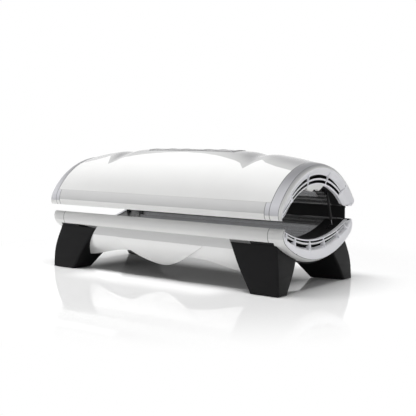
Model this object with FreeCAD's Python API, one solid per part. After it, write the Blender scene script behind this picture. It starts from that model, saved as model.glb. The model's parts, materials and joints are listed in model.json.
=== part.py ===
"""Clamshell tanning bed: a lamp bed on two leg cradles with a lamp canopy hinged along its rear rail.

Millimetres, X along the bed, front at -Y, Z up, origin on the floor under the centre.
One STEP file per sub-part goes to parts/.
"""
import FreeCAD, Part
import math
import os
from FreeCAD import Vector

# ---------------------------------------------------------------- driving sizes
# Along the bed, from its centre
RAIL_HALF_LENGTH = 996.0        # to the joint between a rail and an end frame
LAMP_LENGTH = 1760.0            # 100 W tube, over its end caps
LAMP_FIELD_MARGIN = 20.0        # from a tube's end to the start of the black end zone
BULKHEAD_SETBACK = 1.0          # from there to the bulkhead behind the lampholders

# End frames and rings, outwards from the end of the shell
CORNER_LENGTH = 39.0            # from the end of the rail to the end of the shell
SHEET_OVERHANG = 31.0           # end of a clear sheet
CANOPY_RIM_OUT = 85.0           # ridge of a canopy end ring
CANOPY_SEAM_OUT = 68.0          # seam between a canopy end frame and its ring
CANOPY_DISH_OUT = 55.0          # deepest line of its dish
CANOPY_EDGE_OUT = 45.0          # its inner edge
BED_RIM_OUT = 82.0              # ridge of a bed end ring
BED_SEAM_OUT = 81.0             # seam between a bed end frame and its ring
BED_BAND_OUT = 68.0             # inner edge of its smooth band
BED_RECESS_OUT = 32.0           # foot of its recess
BED_BAR_OUT = 53.0              # bars in front of the recess

# Bed section
BED_FLOOR_Z = 343.0             # lowest line of the bed's inner arc
BED_ARC_RADIUS = 972.0
BED_RIM_Y = 450.0               # half depth at the top of the rim
BED_HALF_DEPTH = 475.0
BED_UNDER_Z = 181.0             # lowest line of the pan
BED_UNDER_RADIUS = 720.0
BED_CORNER_Y = 440.0            # where the pan turns up into the rail
BED_RAIL_BOTTOM_Z = 358.0
BED_RAIL_INNER_Y = 438.0

# Canopy section
CANOPY_ARCH_TOP_Z = 726.0       # highest line of the canopy's inner arch
CANOPY_ARCH_RADIUS = 502.0
CANOPY_ARCH_HALF_ANGLE = 47.0   # from the top to where the inner edge flares out
CANOPY_END_TOP_Z = 883.0        # shell top at its ends
CANOPY_CROWN_Z = 957.0          # shell top at the centre
CANOPY_CROWN_POWER = 3.3        # how late the top line falls towards the ends
CANOPY_RAIL_TOP_Y = 490.0       # outer corner of the rail, where the shell meets it
CANOPY_RAIL_TOP_Z = 629.0
CANOPY_RAIL_LEAD = 38.0         # how far the rail's face goes on in the shell's direction
CANOPY_BULGE = (530.0, 548.0)   # pull point of the front rail's rounded face
CANOPY_LIP_Y = 500.0
CANOPY_LIP_Z = 512.0
CANOPY_REAR_BULGE = (549.2, 588.0)
CANOPY_REAR_LIP_Y = 452.0       # the rear rail turns in higher up, above the hinges
CANOPY_REAR_LIP_Z = 549.0
CANOPY_RAIL_INNER_Y = 410.0
CANOPY_FOOT_INNER_Y = 454.0     # inner corner of an end ring's front foot
CANOPY_REAR_FOOT_INNER_Y = 404.0
CANOPY_FOOT_FLARE = 7.0
VALLEY_X = 637.0                # centre of the valley between dome and shoulder
VALLEY_WIDTH = 56.0
VALLEY_DEPTH = 23.0
VALLEY_FADE_START = 0.28        # in places round the shell, 0 on top
VALLEY_FADE_LENGTH = 0.46

# Legs: corners of one foot and of the leg's top, along X from the end of the shell
FOOT_OUTER_OUT = 65.0
FOOT_INNER_IN = 167.0
FOOT_BACK_IN = 195.0
FOOT_FRONT_Y = 498.0
FOOT_OUTER_BACK_Y = 385.0
FOOT_INNER_BACK_Y = 320.0
LEG_TOP_Z = 352.0
LEG_TOP_OUTER_OUT = 15.0
LEG_TOP_INNER_IN = 385.0
LEG_TOP_FRONT_Y = 446.0
LEG_TOP_OUTER_BACK_Y = 160.0
LEG_TOP_INNER_BACK_Y = 40.0
LEG_EDGE_RADIUS = 12.0
LEG_WALL = 7.0
STRIP_SETBACK = 90.0
CRADLE_THICKNESS = 7.0
CRADLE_HALF_WIDTH_Y = 300.0
FOOT_PAD_THICKNESS = 4.0
FOOT_PAD_INSET = 16.0

# Front apron and its shield
APRON_FOLD_Z = 286.0
APRON_TOP_Y = 436.0
APRON_FOLD_Y = 448.0
APRON_TUCK = 85.0               # how far the apron runs inwards below its fold
APRON_TUCK_HEIGHT = 186.0
APRON_WING_LOW_Z = 112.0
APRON_ARCH_Z = 190.0
APRON_ARCH_X = 330.0
SHIELD_HALF_WIDTH = 430.0
SHIELD_TIP_Z = 101.0
SHIELD_POWER = 1.6
SHIELD_STANDOFF = 20.0

# Sheet and wall thicknesses
SHELL_WALL = 4.0
RAIL_WALL = 4.0
CLEAR_SHEET = 5.0
REFLECTOR_SHEET = 1.5
TRAY_SHEET = 2.0
SEAT_GAP = 0.3                  # between seated neighbours
RUNNING_GAP = 0.05              # radial, between a pin and its bore

# Lamps
LAMP_RADIUS = 19.0
LAMP_GLASS = 1.2
LAMP_CAP_LENGTH = 12.0
BED_LAMP_COUNT = 14
CANOPY_LAMP_COUNT = 15
LAMP_TO_SHEET = 14.0            # clear space between a tube and the clear sheet
LAMP_TO_REFLECTOR = 7.0
BED_LAMP_HALF_ANGLE = 22.0
CANOPY_LAMP_HALF_ANGLE = 42.0
HOLDER_THICKNESS = 12.0
HOLDER_HALF_WIDTH = 14.0

# Frames
HOOP_THICKNESS = 22.0
HOOP_HALF_WIDTH = 15.0
HOOP_PLACES = (-880.0, -440.0, 0.0, 440.0, 880.0)
HOOP_FOOT = 22.0                # how far a canopy hoop's foot reaches over its rail
BULKHEAD_THICKNESS = 3.0
CANOPY_BULKHEAD_RADIUS = 640.0
BEARER_WIDTH = 25.0
BEARER_WALL = 2.5
BED_BEARER_Y = 260.0

# Ballasts and trays
BALLAST_SIZE = (236.0, 58.0, 38.0)
BALLAST_PITCH_Y = 74.0
TRAY_X = 700.0
TRAY_LENGTH = 380.0
TRAY_WIDTH = 320.0
DECK_WIDTH = 230.0

# Cooling fans
FAN_X = 260.0
FAN_RADIUS = 92.0
FAN_WALL = 5.0
FAN_DEPTH = 44.0
FAN_TIP_GAP = 3.0
FAN_HUB_RADIUS = 32.0
FAN_HUB_DEPTH = 34.0
FAN_BLADE_COUNT = 7
FAN_BLADE_THICKNESS = 2.2
FAN_BLADE_TILT = 32.0
FAN_SHAFT_RADIUS = 4.0
FAN_SPIDER_THICKNESS = 4.0
FAN_SPIDER_WIDTH = 12.0
FAN_GUARD = 3.0                 # section of the intake grille bars

# Hinges along the rear
HINGE_AXIS_Y = 475.0
HINGE_AXIS_Z = 487.0
HINGE_PLACES = (-620.0, 620.0)
HINGE_BARREL_RADIUS = 14.0
HINGE_PIN_RADIUS = 6.0
HINGE_PIN_HEAD_RADIUS = 10.0
HINGE_PIN_HEAD_LENGTH = 4.0
HINGE_KNUCKLE = 56.0
HINGE_EAR = 22.0
HINGE_PLATE = 8.0
REAR_WALL_THICKNESS = 6.0
REAR_WALL_TOP_Z = 543.0
REAR_WALL_END_GAP = 2.0         # shorter than the clear sheets
REAR_WALL_SETBACK = 2.0         # behind the inner face of the rail
REAR_SEAL_HEIGHT = 20.0         # strip on the canopy that overlaps the rear wall from behind
REAR_SEAL_THICKNESS = 4.0
REAR_SEAL_CLEARANCE = 1.0       # running gap to the wall

# Gas springs
CANOPY_OPEN_ANGLE = 45.0
STRUT_SETBACK = 5.0             # in from the end of the shell
STRUT_LOW_Y = 313.0
STRUT_HIGH_Y = 240.0
STRUT_TUBE_START = 42.0
STRUT_TUBE_END = 16.0
STRUT_ROD_OVERLAP = 16.0
STRUT_TUBE_RADIUS = 9.5
STRUT_ROD_RADIUS = 4.5
STRUT_EYE_RADIUS = 10.0
STRUT_EYE_WIDTH = 12.0
STRUT_STUD_RADIUS = 5.0
STRUT_STAND_OFF = 18.0
STRUT_PLATE_THICKNESS = 4.0
STRUT_PLATE_LENGTH = 46.0

# Top vent, face tanner, control pod, air nozzle, gland
VENT_HALF_LENGTH = 420.0
VENT_HALF_WIDTH = 80.0
VENT_FRAME = 10.0
VENT_RISE = 3.0
VENT_BAR_PLACES = (-410.0, -250.0, -110.0, 110.0, 250.0, 410.0)
VENT_BAR_HALF_WIDTH = 9.0
VENT_BAR_RISE = 5.0
VENT_SLAT_PITCH = 17.0
VENT_SLAT_WIDTH = 8.0
FACE_TANNER_X = -640.0
FACE_TANNER_LENGTH = 230.0
FACE_TANNER_DEPTH = 150.0
FACE_TANNER_HEIGHT = 20.0
POD_SETBACK = 60.0              # in from the end of the shell
POD_LENGTH_Y = 230.0
POD_WIDTH_X = 74.0
POD_HEIGHT = 26.0
BUTTON_RADIUS = 11.0
BUTTON_PITCH = 42.0
BUTTON_PROUD = 4.0
BUTTON_TRAVEL = 2.0
BUTTON_STEM = 9.0
BUTTON_GAP = 0.4
BUTTONS = ("start", "stop", "fan", "face")
NOZZLE_OUT = 5.0                # out from the end of the shell
NOZZLE_Y = 15.0
NOZZLE_HALF_WIDTH = 112.0
NOZZLE_DEPTH_X = 28.0
NOZZLE_BOTTOM_Z = 679.0
NOZZLE_NOTCH_HALF_WIDTH = 45.0
NOZZLE_NOTCH_HEIGHT = 13.0
NOZZLE_SLANT_HEIGHT = 35.0
GLAND_X = -420.0
GLAND_Z = 262.0
GLAND_BOX = (110.0, 34.0, 70.0)
GLAND_RADIUS = 13.0
GLAND_BORE_RADIUS = 6.0
GLAND_LENGTH = 26.0
BOLT_HEAD_RADIUS = 8.0
BOLT_HEAD_HEIGHT = 5.0
BOLT_SHANK_RADIUS = 4.0
BOLT_INNER_SETBACK = 140.0      # from the inner and the outer edge of a leg's top
BOLT_OUTER_SETBACK = 50.0
BOLT_END = 3.0                  # how far a bolt shows below its cradle

# End rings: fractions of the way from the outer profile to the inner one, places round it
CANOPY_SWEEP = 40.0             # turn of the end frame's shoulder, in degrees
CANOPY_SEAM = 0.094
CANOPY_RIM = 0.28
CANOPY_DISH = 0.55              # deepest line at the top of the arch
CANOPY_DISH_GROWTH = 0.30       # how fast that line nears the bars towards the feet
CANOPY_BARS = (0.705, 0.79, 0.92)
CANOPY_RIBS = (-0.646, -0.233, 0.233, 0.646)
CANOPY_SLOT_LIMIT = 0.646
BED_SWEEP = 60.0
BED_SEAM = 0.155
BED_RIM = 0.21
BED_BAND = 0.537                # where the smooth band breaks into the recess
BED_RECESS = 0.62
BED_BARS = (0.775, 0.86, 0.94)
BED_RIBS = (-0.86, -0.614, -0.20, 0.20, 0.614, 0.86)
BED_RIB_TOP = 0.34
BED_SLOT_LIMIT = 0.93
RIB_THICKNESS = 7.0
RING_WALL = 4.0
RING_GAP = 0.6                  # seam between an end frame and its ring
RING_FULL_LENGTH = 90.0         # profile length from which a ring has its full dish depth

PARTS_FOLDER = "parts"
ENDS = (("left", -1.0), ("right", 1.0))
QUARTER_TURN = 0.5 * math.pi


# ---------------------------------------------------------------- helpers
def save(name, shape):
    """Write one node."""
    shape.exportStep(os.path.join(PARTS_FOLDER, name + ".step"))


def smooth_step(value):
    """0 below 0, 1 above 1, smooth between."""
    value = min(max(value, 0.0), 1.0)
    return value * value * (3.0 - 2.0 * value)


def spread(first, last, count):
    """Evenly spaced numbers, ends included."""
    return [first + (last - first) * i / (count - 1.0) for i in range(count)]


def box(x_range, y_range, z_range):
    """Box between two corners."""
    size = [high - low for low, high in (x_range, y_range, z_range)]
    return Part.makeBox(*size, Vector(x_range[0], y_range[0], z_range[0]))


def mirror_x(shape):
    return shape.mirror(Vector(0, 0, 0), Vector(1, 0, 0))


def mirror_y(shape):
    return shape.mirror(Vector(0, 0, 0), Vector(0, 1, 0))


def at_end(shape, side):
    """The shape is made for the right end; side -1 gives the left one."""
    return shape if side > 0 else mirror_x(shape)


def extrude_section(points, x_start, x_end):
    """Straight-sided prism along X from (y, z) corners."""
    wire = Part.makePolygon([Vector(x_start, y, z) for y, z in points + points[:1]])
    return Part.Face(wire).extrude(Vector(x_end - x_start, 0, 0))


def curve_edge(points):
    """Smooth edge through points."""
    curve = Part.BSplineCurve()
    curve.interpolate(points)
    return curve.toShape()


def arc_point(centre_z, radius, angle, side):
    """Point of a circle about an X axis; side +1 above the axis, -1 below it, angle from the vertical."""
    return (radius * math.sin(angle), centre_z + side * radius * math.cos(angle))


def arc_band(centre_z, radii, half_angle, x_range, side):
    """Curved sheet along X between two radii about the axis (y 0, centre_z)."""
    def arc(radius):
        ends = [Vector(x_range[0], *arc_point(centre_z, radius, angle, side))
                for angle in (-half_angle, 0.0, half_angle)]
        return Part.Arc(*ends).toShape(), ends[0], ends[2]
    inner, inner_start, inner_end = arc(radii[0])
    outer, outer_start, outer_end = arc(radii[1])
    sides = [Part.makeLine(inner_end, outer_end), Part.makeLine(outer_start, inner_start)]
    wire = Part.Wire([inner, sides[0], outer, sides[1]])
    return Part.Face(wire).extrude(Vector(x_range[1] - x_range[0], 0, 0))


def clamped_knots(count):
    """Knots and multiplicities of a cubic with count control points."""
    inner = count - 4
    return [float(i) for i in range(inner + 2)], [4] + [1] * inner + [4]


def skin_solid(front_rows, back_rows):
    """Closed solid between two smooth faces controlled by point grids of the same size."""
    faces = []
    borders = []
    for rows in (front_rows, back_rows):
        u_knots, u_repeats = clamped_knots(len(rows))
        v_knots, v_repeats = clamped_knots(len(rows[0]))
        surface = Part.BSplineSurface()
        surface.buildFromPolesMultsKnots(rows, u_repeats, v_repeats, u_knots, v_knots, False, False, 3, 3)
        faces.append(surface.toShape())
        u_first, u_last, v_first, v_last = surface.bounds()
        borders.append([surface.uIso(u_first).toShape(), surface.uIso(u_last).toShape(),
                        surface.vIso(v_first).toShape(), surface.vIso(v_last).toShape()])
    for front, back in zip(*borders):
        faces.append(Part.makeRuledSurface(front, back))
    shell = Part.makeShell(faces)
    shell.sewShape()
    solid = Part.makeSolid(shell)
    if solid.Volume < 0:
        solid.reverse()
    return solid


# ---------------------------------------------------------------- places along the bed
SHELL_HALF_LENGTH = RAIL_HALF_LENGTH + CORNER_LENGTH
SHEET_HALF_LENGTH = SHELL_HALF_LENGTH + SHEET_OVERHANG
LAMP_FIELD_HALF_LENGTH = 0.5 * LAMP_LENGTH + LAMP_FIELD_MARGIN
BULKHEAD_X = LAMP_FIELD_HALF_LENGTH + BULKHEAD_SETBACK
CANOPY_RIM_X = SHELL_HALF_LENGTH + CANOPY_RIM_OUT
CANOPY_SEAM_X = SHELL_HALF_LENGTH + CANOPY_SEAM_OUT
CANOPY_DISH_X = SHELL_HALF_LENGTH + CANOPY_DISH_OUT
CANOPY_EDGE_X = SHELL_HALF_LENGTH + CANOPY_EDGE_OUT
BED_RIM_X = SHELL_HALF_LENGTH + BED_RIM_OUT
BED_SEAM_X = SHELL_HALF_LENGTH + BED_SEAM_OUT
BED_BAND_X = SHELL_HALF_LENGTH + BED_BAND_OUT
BED_RECESS_X = SHELL_HALF_LENGTH + BED_RECESS_OUT
BED_BAR_X = SHELL_HALF_LENGTH + BED_BAR_OUT
FOOT_OUTER_X = SHELL_HALF_LENGTH + FOOT_OUTER_OUT
FOOT_INNER_X = SHELL_HALF_LENGTH - FOOT_INNER_IN
FOOT_BACK_X = SHELL_HALF_LENGTH - FOOT_BACK_IN
LEG_TOP_OUTER_X = SHELL_HALF_LENGTH + LEG_TOP_OUTER_OUT
LEG_TOP_INNER_X = SHELL_HALF_LENGTH - LEG_TOP_INNER_IN
APRON_HALF_LENGTH = FOOT_BACK_X
REAR_WALL_HALF_LENGTH = SHEET_HALF_LENGTH - REAR_WALL_END_GAP
STRUT_X = SHELL_HALF_LENGTH - STRUT_SETBACK
NOZZLE_X = SHELL_HALF_LENGTH + NOZZLE_OUT
POD_X = -SHELL_HALF_LENGTH + POD_SETBACK


# ---------------------------------------------------------------- section curves
BED_ARC_CENTRE_Z = BED_FLOOR_Z + BED_ARC_RADIUS
BED_UNDER_CENTRE_Z = BED_UNDER_Z + BED_UNDER_RADIUS
CANOPY_ARC_CENTRE_Z = CANOPY_ARCH_TOP_Z - CANOPY_ARCH_RADIUS
BED_RIM_Z = BED_ARC_CENTRE_Z - math.sqrt(BED_ARC_RADIUS ** 2 - BED_RIM_Y ** 2)
BED_INNER_HALF_ANGLE = math.asin(BED_RAIL_INNER_Y / BED_ARC_RADIUS)
BED_CORNER_ANGLE = math.asin(BED_CORNER_Y / BED_UNDER_RADIUS)
CANOPY_INNER_CORNER_ANGLE = math.radians(CANOPY_ARCH_HALF_ANGLE)
BED_CORNER_SHARE = 0.86         # share of the outer profile before the corner
CANOPY_CORNER_SHARE = 0.83


def bezier(points, t):
    """Point of a Bezier curve with three or four control points."""
    while len(points) > 1:
        points = [((1.0 - t) * a[0] + t * b[0], (1.0 - t) * a[1] + t * b[1])
                  for a, b in zip(points[:-1], points[1:])]
    return points[0]


def bed_inner(place):
    """Inner profile of the bed; place runs from -1 at the front rim to 1 at the rear."""
    return arc_point(BED_ARC_CENTRE_Z, BED_ARC_RADIUS, place * BED_INNER_HALF_ANGLE, -1)


def bed_outer(place):
    """Outer profile of the bed: under arc, rounded corner, then up to the rim."""
    share = abs(place)
    sign = math.copysign(1.0, place)
    if share <= BED_CORNER_SHARE:
        angle = BED_CORNER_ANGLE * share / BED_CORNER_SHARE
        y, z = arc_point(BED_UNDER_CENTRE_Z, BED_UNDER_RADIUS, angle, -1)
        return sign * y, z
    t = (share - BED_CORNER_SHARE) / (1.0 - BED_CORNER_SHARE)
    start = arc_point(BED_UNDER_CENTRE_Z, BED_UNDER_RADIUS, BED_CORNER_ANGLE, -1)
    reach = 0.9 * (BED_HALF_DEPTH - BED_CORNER_Y)
    lead = (start[0] + reach * math.cos(BED_CORNER_ANGLE), start[1] + reach * math.sin(BED_CORNER_ANGLE))
    end = (BED_RIM_Y, BED_RIM_Z)
    widest = (2.0 * BED_HALF_DEPTH - BED_RIM_Y, BED_RIM_Z - 0.3 * (BED_RIM_Z - start[1]))
    y, z = bezier([start, lead, widest, end], t)
    return sign * y, z


def canopy_foot(place):
    """Pull point, lip and inner foot corner of the canopy's front (place < 0) or rear edge."""
    if place < 0.0:
        return CANOPY_BULGE, (CANOPY_LIP_Y, CANOPY_LIP_Z), (CANOPY_FOOT_INNER_Y, CANOPY_LIP_Z)
    return (CANOPY_REAR_BULGE, (CANOPY_REAR_LIP_Y, CANOPY_REAR_LIP_Z),
            (CANOPY_REAR_FOOT_INNER_Y, CANOPY_REAR_LIP_Z))


def canopy_inner(place):
    """Inner arch of the canopy; place runs from -1 at the front foot to 1 at the rear."""
    share = abs(place)
    sign = math.copysign(1.0, place)
    if share <= CANOPY_CORNER_SHARE:
        angle = CANOPY_INNER_CORNER_ANGLE * share / CANOPY_CORNER_SHARE
        y, z = arc_point(CANOPY_ARC_CENTRE_Z, CANOPY_ARCH_RADIUS, angle, 1)
        return sign * y, z
    start = arc_point(CANOPY_ARC_CENTRE_Z, CANOPY_ARCH_RADIUS, CANOPY_INNER_CORNER_ANGLE, 1)
    foot = canopy_foot(place)[2]
    fall = start[1] - foot[1] - CANOPY_FOOT_FLARE
    bend = (start[0] + fall / math.tan(CANOPY_INNER_CORNER_ANGLE), start[1] - fall)
    t = (share - CANOPY_CORNER_SHARE) / (1.0 - CANOPY_CORNER_SHARE)
    y, z = bezier([start, bend, foot], t)
    return sign * y, z


def shell_circle(top_z):
    """Radius and end angle of the shell's arc from its top line down to the rails."""
    rise = top_z - CANOPY_RAIL_TOP_Z
    radius = (CANOPY_RAIL_TOP_Y ** 2 + rise ** 2) / (2.0 * rise)
    return radius, math.asin(CANOPY_RAIL_TOP_Y / radius)


def canopy_outer(place, top_z=CANOPY_END_TOP_Z, inset=0.0):
    """Outer profile of the canopy: shell arc, then the rounded rail face down to the lip."""
    share = abs(place)
    sign = math.copysign(1.0, place)
    radius, corner_angle = shell_circle(top_z)
    if share <= CANOPY_CORNER_SHARE:
        angle = corner_angle * share / CANOPY_CORNER_SHARE
        y, z = arc_point(top_z - radius, radius - inset, angle, 1)
        return sign * y, z
    start = (CANOPY_RAIL_TOP_Y, CANOPY_RAIL_TOP_Z)
    lead = (start[0] + CANOPY_RAIL_LEAD * math.cos(corner_angle),
            start[1] - CANOPY_RAIL_LEAD * math.sin(corner_angle))
    bulge, lip = canopy_foot(place)[:2]
    t = (share - CANOPY_CORNER_SHARE) / (1.0 - CANOPY_CORNER_SHARE)
    y, z = bezier([start, lead, bulge, lip], t)
    return sign * y, z


def ring_point(outer, inner, place, fraction, x, inward=0.0):
    """Point on the way from the outer to the inner profile, moved further in by inward millimetres."""
    y_out, z_out = outer(place)
    y_in, z_in = inner(place)
    length = math.hypot(y_in - y_out, z_in - z_out)
    way = fraction + inward / length
    return Vector(x, y_out + way * (y_in - y_out), z_out + way * (z_in - z_out))


# ---------------------------------------------------------------- legs
def leg_block(wall):
    """Front right leg as a solid block, all its faces moved in by wall."""
    foot = [(FOOT_OUTER_X - wall, -FOOT_FRONT_Y + wall), (FOOT_OUTER_X - wall, -FOOT_OUTER_BACK_Y - wall),
            (FOOT_BACK_X + wall, -FOOT_INNER_BACK_Y - wall), (FOOT_INNER_X + wall, -FOOT_FRONT_Y + wall)]
    top = [(LEG_TOP_OUTER_X - wall, -LEG_TOP_FRONT_Y + wall),
           (LEG_TOP_OUTER_X - wall, -LEG_TOP_OUTER_BACK_Y - wall),
           (LEG_TOP_INNER_X + wall, -LEG_TOP_INNER_BACK_Y - wall),
           (LEG_TOP_INNER_X + wall, -LEG_TOP_FRONT_Y + wall)]
    bottom_z = FOOT_PAD_THICKNESS + wall
    wires = []
    for corners, z in ((foot, bottom_z), (top, LEG_TOP_Z)):
        points = [Vector(x, y, z) for x, y in corners]
        wires.append(Part.makePolygon(points + points[:1]))
    return Part.makeLoft(wires, True, True)


def make_leg():
    """Hollow front right leg, open at the top, before the bowl is cut out of it."""
    block = leg_block(0.0)
    height = LEG_TOP_Z - FOOT_PAD_THICKNESS
    upright_edges = [edge for edge in block.Edges if abs(edge.BoundBox.ZLength - height) < 1.0]
    return block.makeFillet(LEG_EDGE_RADIUS, upright_edges).cut(leg_block(LEG_WALL))


def make_leg_cradle():
    """Both legs of the right end, joined by a curved strip under the bowl."""
    leg = make_leg()
    strip_x = (LEG_TOP_INNER_X + STRIP_SETBACK, LEG_TOP_OUTER_X)
    strip = arc_band(BED_UNDER_CENTRE_Z, (BED_UNDER_RADIUS - 1.0, BED_UNDER_RADIUS + CRADLE_THICKNESS),
                     math.asin(CRADLE_HALF_WIDTH_Y / BED_UNDER_RADIUS), strip_x, -1)
    bowl = Part.makeCylinder(BED_UNDER_RADIUS + SEAT_GAP, 2.0 * LEG_TOP_OUTER_X,
                             Vector(0, 0, BED_UNDER_CENTRE_Z), Vector(1, 0, 0))
    cradle = leg.fuse([mirror_y(leg), strip]).cut(bowl)
    return cradle.cut(bolt_holes())


def bolt_places():
    return [Vector(x, 0, BED_UNDER_Z)
            for x in (LEG_TOP_INNER_X + BOLT_INNER_SETBACK, LEG_TOP_OUTER_X - BOLT_OUTER_SETBACK)]


def bolt_holes():
    """Bores for the bolts that hold the pan to the right cradle."""
    radius = BOLT_SHANK_RADIUS + RUNNING_GAP
    reach = SHELL_WALL + CRADLE_THICKNESS + 2.0 * BOLT_HEAD_RADIUS
    return Part.makeCompound([Part.makeCylinder(radius, 2.0 * reach, place - Vector(0, 0, reach))
                              for place in bolt_places()])


def make_cradle_bolts():
    """Bolts through the pan into both cradles, heads inside the pan."""
    bolts = []
    for place in bolt_places():
        seat = place + Vector(0, 0, SHELL_WALL + SEAT_GAP)
        head = Part.makeCylinder(BOLT_HEAD_RADIUS, BOLT_HEAD_HEIGHT, seat)
        length = SHELL_WALL + SEAT_GAP + CRADLE_THICKNESS + BOLT_END
        bolt = head.fuse(Part.makeCylinder(BOLT_SHANK_RADIUS, length, seat, Vector(0, 0, -1)))
        bolts += [bolt, mirror_x(bolt)]
    return Part.makeCompound(bolts)


def make_foot_pads():
    """One rubber pad under each foot."""
    pads = []
    corners = [(FOOT_OUTER_X - FOOT_PAD_INSET, FOOT_FRONT_Y - FOOT_PAD_INSET),
               (FOOT_OUTER_X - FOOT_PAD_INSET, FOOT_OUTER_BACK_Y + FOOT_PAD_INSET),
               (FOOT_BACK_X + 2 * FOOT_PAD_INSET, FOOT_INNER_BACK_Y + 2 * FOOT_PAD_INSET),
               (FOOT_INNER_X + FOOT_PAD_INSET, FOOT_FRONT_Y - FOOT_PAD_INSET)]
    for x_sign in (-1, 1):
        for y_sign in (-1, 1):
            points = [Vector(x_sign * x, y_sign * y, 0) for x, y in corners]
            face = Part.Face(Part.makePolygon(points + points[:1]))
            pads.append(face.extrude(Vector(0, 0, FOOT_PAD_THICKNESS)))
    return Part.makeCompound(pads)


# ---------------------------------------------------------------- rails and pan
def rail_section(outer, places, inner_points):
    """Hollow section and a thinner one inside its wall; curved outer face, straight inner faces."""
    points = [outer(place) for place in places] + inner_points
    face = Part.Face(Part.makePolygon([Vector(0, y, z) for y, z in points + points[:1]]))
    tongue = face.makeOffset2D(-0.25 * RAIL_WALL).cut(face.makeOffset2D(-0.75 * RAIL_WALL))
    return face.cut(face.makeOffset2D(-RAIL_WALL)), tongue


def places_between(outer, z_low, z_high, count, side=1):
    """Places along one half of an outer profile (side -1 the front) with heights between two levels."""
    fine = [side * step / 2000.0 for step in range(1200, 2001)]
    inside = [place for place in fine if z_low <= outer(place)[1] <= z_high]
    return spread(inside[0], inside[-1], count)


def bed_rail_section(side):
    """Sections of the bed's rear rail, or with side -1 of the front one."""
    places = places_between(bed_outer, BED_RAIL_BOTTOM_Z, BED_RIM_Z, 12, side)
    inner_points = [(side * BED_RAIL_INNER_Y, z) for z in (BED_RIM_Z - RAIL_WALL, BED_RAIL_BOTTOM_Z)]
    return rail_section(bed_outer, places, inner_points)


def canopy_rail_section(side):
    """Sections of the canopy's rear rail, or with side -1 of the front one."""
    lip_z = canopy_foot(side)[1][1]
    places = places_between(canopy_outer, lip_z, CANOPY_RAIL_TOP_Z, 12, side)
    inner_points = [(side * CANOPY_RAIL_INNER_Y, z) for z in (lip_z + RAIL_WALL, CANOPY_RAIL_TOP_Z)]
    return rail_section(canopy_outer, places, inner_points)


def run_section(section, x_start, x_end):
    """Rail length between two places along X."""
    return section.translated(Vector(x_start, 0, 0)).extrude(Vector(x_end - x_start, 0, 0))


def apron_spaces():
    """Space that the upper edges of the front and the rear apron need behind the rails."""
    half_length = APRON_HALF_LENGTH + SEAT_GAP
    rear = box((-half_length, half_length), (APRON_TOP_Y - SHELL_WALL - SEAT_GAP, BED_HALF_DEPTH),
               (APRON_FOLD_Z, BED_RIM_Z))
    return [rear, mirror_y(rear)]


def make_bed_pan():
    """Curved under pan with fan openings and bolt holes."""
    last = places_between(bed_outer, BED_UNDER_Z, BED_RAIL_BOTTOM_Z - SHELL_WALL - SEAT_GAP, 2)[1]
    places = spread(-last, last, 31)
    x = -SHELL_HALF_LENGTH
    outside = [ring_point(bed_outer, bed_inner, place, 0.0, x) for place in places]
    inside = [ring_point(bed_outer, bed_inner, place, 0.0, x, SHELL_WALL) for place in places]
    wire = Part.Wire([curve_edge(outside), Part.makeLine(outside[-1], inside[-1]),
                      curve_edge(inside[::-1]), Part.makeLine(inside[0], outside[0])])
    pan = Part.Face(wire).extrude(Vector(2.0 * SHELL_HALF_LENGTH, 0, 0))
    cutters = [bolt_holes(), mirror_x(bolt_holes())] + apron_spaces()
    for fan_x in (-FAN_X, FAN_X):
        cutters.append(Part.makeCylinder(FAN_RADIUS - FAN_WALL, 100.0, Vector(fan_x, 0, BED_UNDER_Z - 50.0)))
    return pan.cut(cutters)


# ---------------------------------------------------------------- end frames and rings
class EndShape:
    """Outlines of one compartment's end, the seam between its frame and ring, and the ring's face."""

    def __init__(self, outer, inner, corner_share, seam, sweep_degrees, face):
        self.outer = outer
        self.inner = inner
        self.seam_x, self.seam = seam
        self.sweep = math.radians(sweep_degrees)
        self.face = face
        half = spread(0.0, corner_share, 18) + spread(corner_share, 1.0, 10)[1:]
        self.places = [-place for place in half[:0:-1]] + half

    def point(self, place, fraction, x, inward=0.0):
        return ring_point(self.outer, self.inner, place, fraction, x, inward)

    def length(self, place):
        """Distance between the outer and the inner profile."""
        return self.point(place, 0.0, 0.0).distanceToPoint(self.point(place, 1.0, 0.0))

    def strip(self, fractions, places, x_range):
        """Flat curved strip between two lines round the end; each line is a function of the place."""
        outside, inside = [[self.point(place, line(place), x_range[0]) for place in places]
                           for line in fractions]
        wire = Part.Wire([curve_edge(outside), Part.makeLine(outside[-1], inside[-1]),
                          curve_edge(inside[::-1]), Part.makeLine(inside[0], outside[0])])
        return Part.Face(wire).extrude(Vector(x_range[1] - x_range[0], 0, 0))

    def skin(self, profile):
        """Sheet swept round the end; profile(place) gives (x, fraction, tilt) across it."""
        grids = []
        for wall in (0.0, RING_WALL):
            grids.append([[self.point(place, fraction, x - wall * math.sin(tilt), wall * math.cos(tilt))
                           for x, fraction, tilt in profile(place)] for place in self.places])
        return skin_solid(*grids)

    def frame_profile(self, place):
        """Shoulder of an end frame from the shell's end to the seam."""
        start_x = SHELL_HALF_LENGTH + SEAT_GAP
        run = (self.seam_x - start_x) / math.sin(self.sweep)
        drop = self.seam / (1.0 - math.cos(self.sweep))
        return [(start_x + run * math.sin(a), drop * (1.0 - math.cos(a)), a)
                for a in spread(0.0, self.sweep, 7)]

    def ring_profile(self, place):
        """Face of an end ring: seam, rounded rim, then its face down to the inner edge."""
        length = self.length(place)
        depth = min(1.0, length / RING_FULL_LENGTH)
        start_x = self.seam_x + RING_GAP * math.cos(self.sweep)
        start = self.seam + RING_GAP * math.sin(self.sweep) / length
        rim_x, rim = self.face(place)[0]
        profile = [(rim_x - (rim_x - start_x) * (1.0 - share) ** 2, start + (rim - start) * share,
                    self.sweep + (QUARTER_TURN - self.sweep) * share) for share in (0.0, 0.3, 0.6, 0.85)]
        profile += [(rim_x - depth * (rim_x - x), fraction, QUARTER_TURN) for x, fraction in self.face(place)]
        return profile


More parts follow.
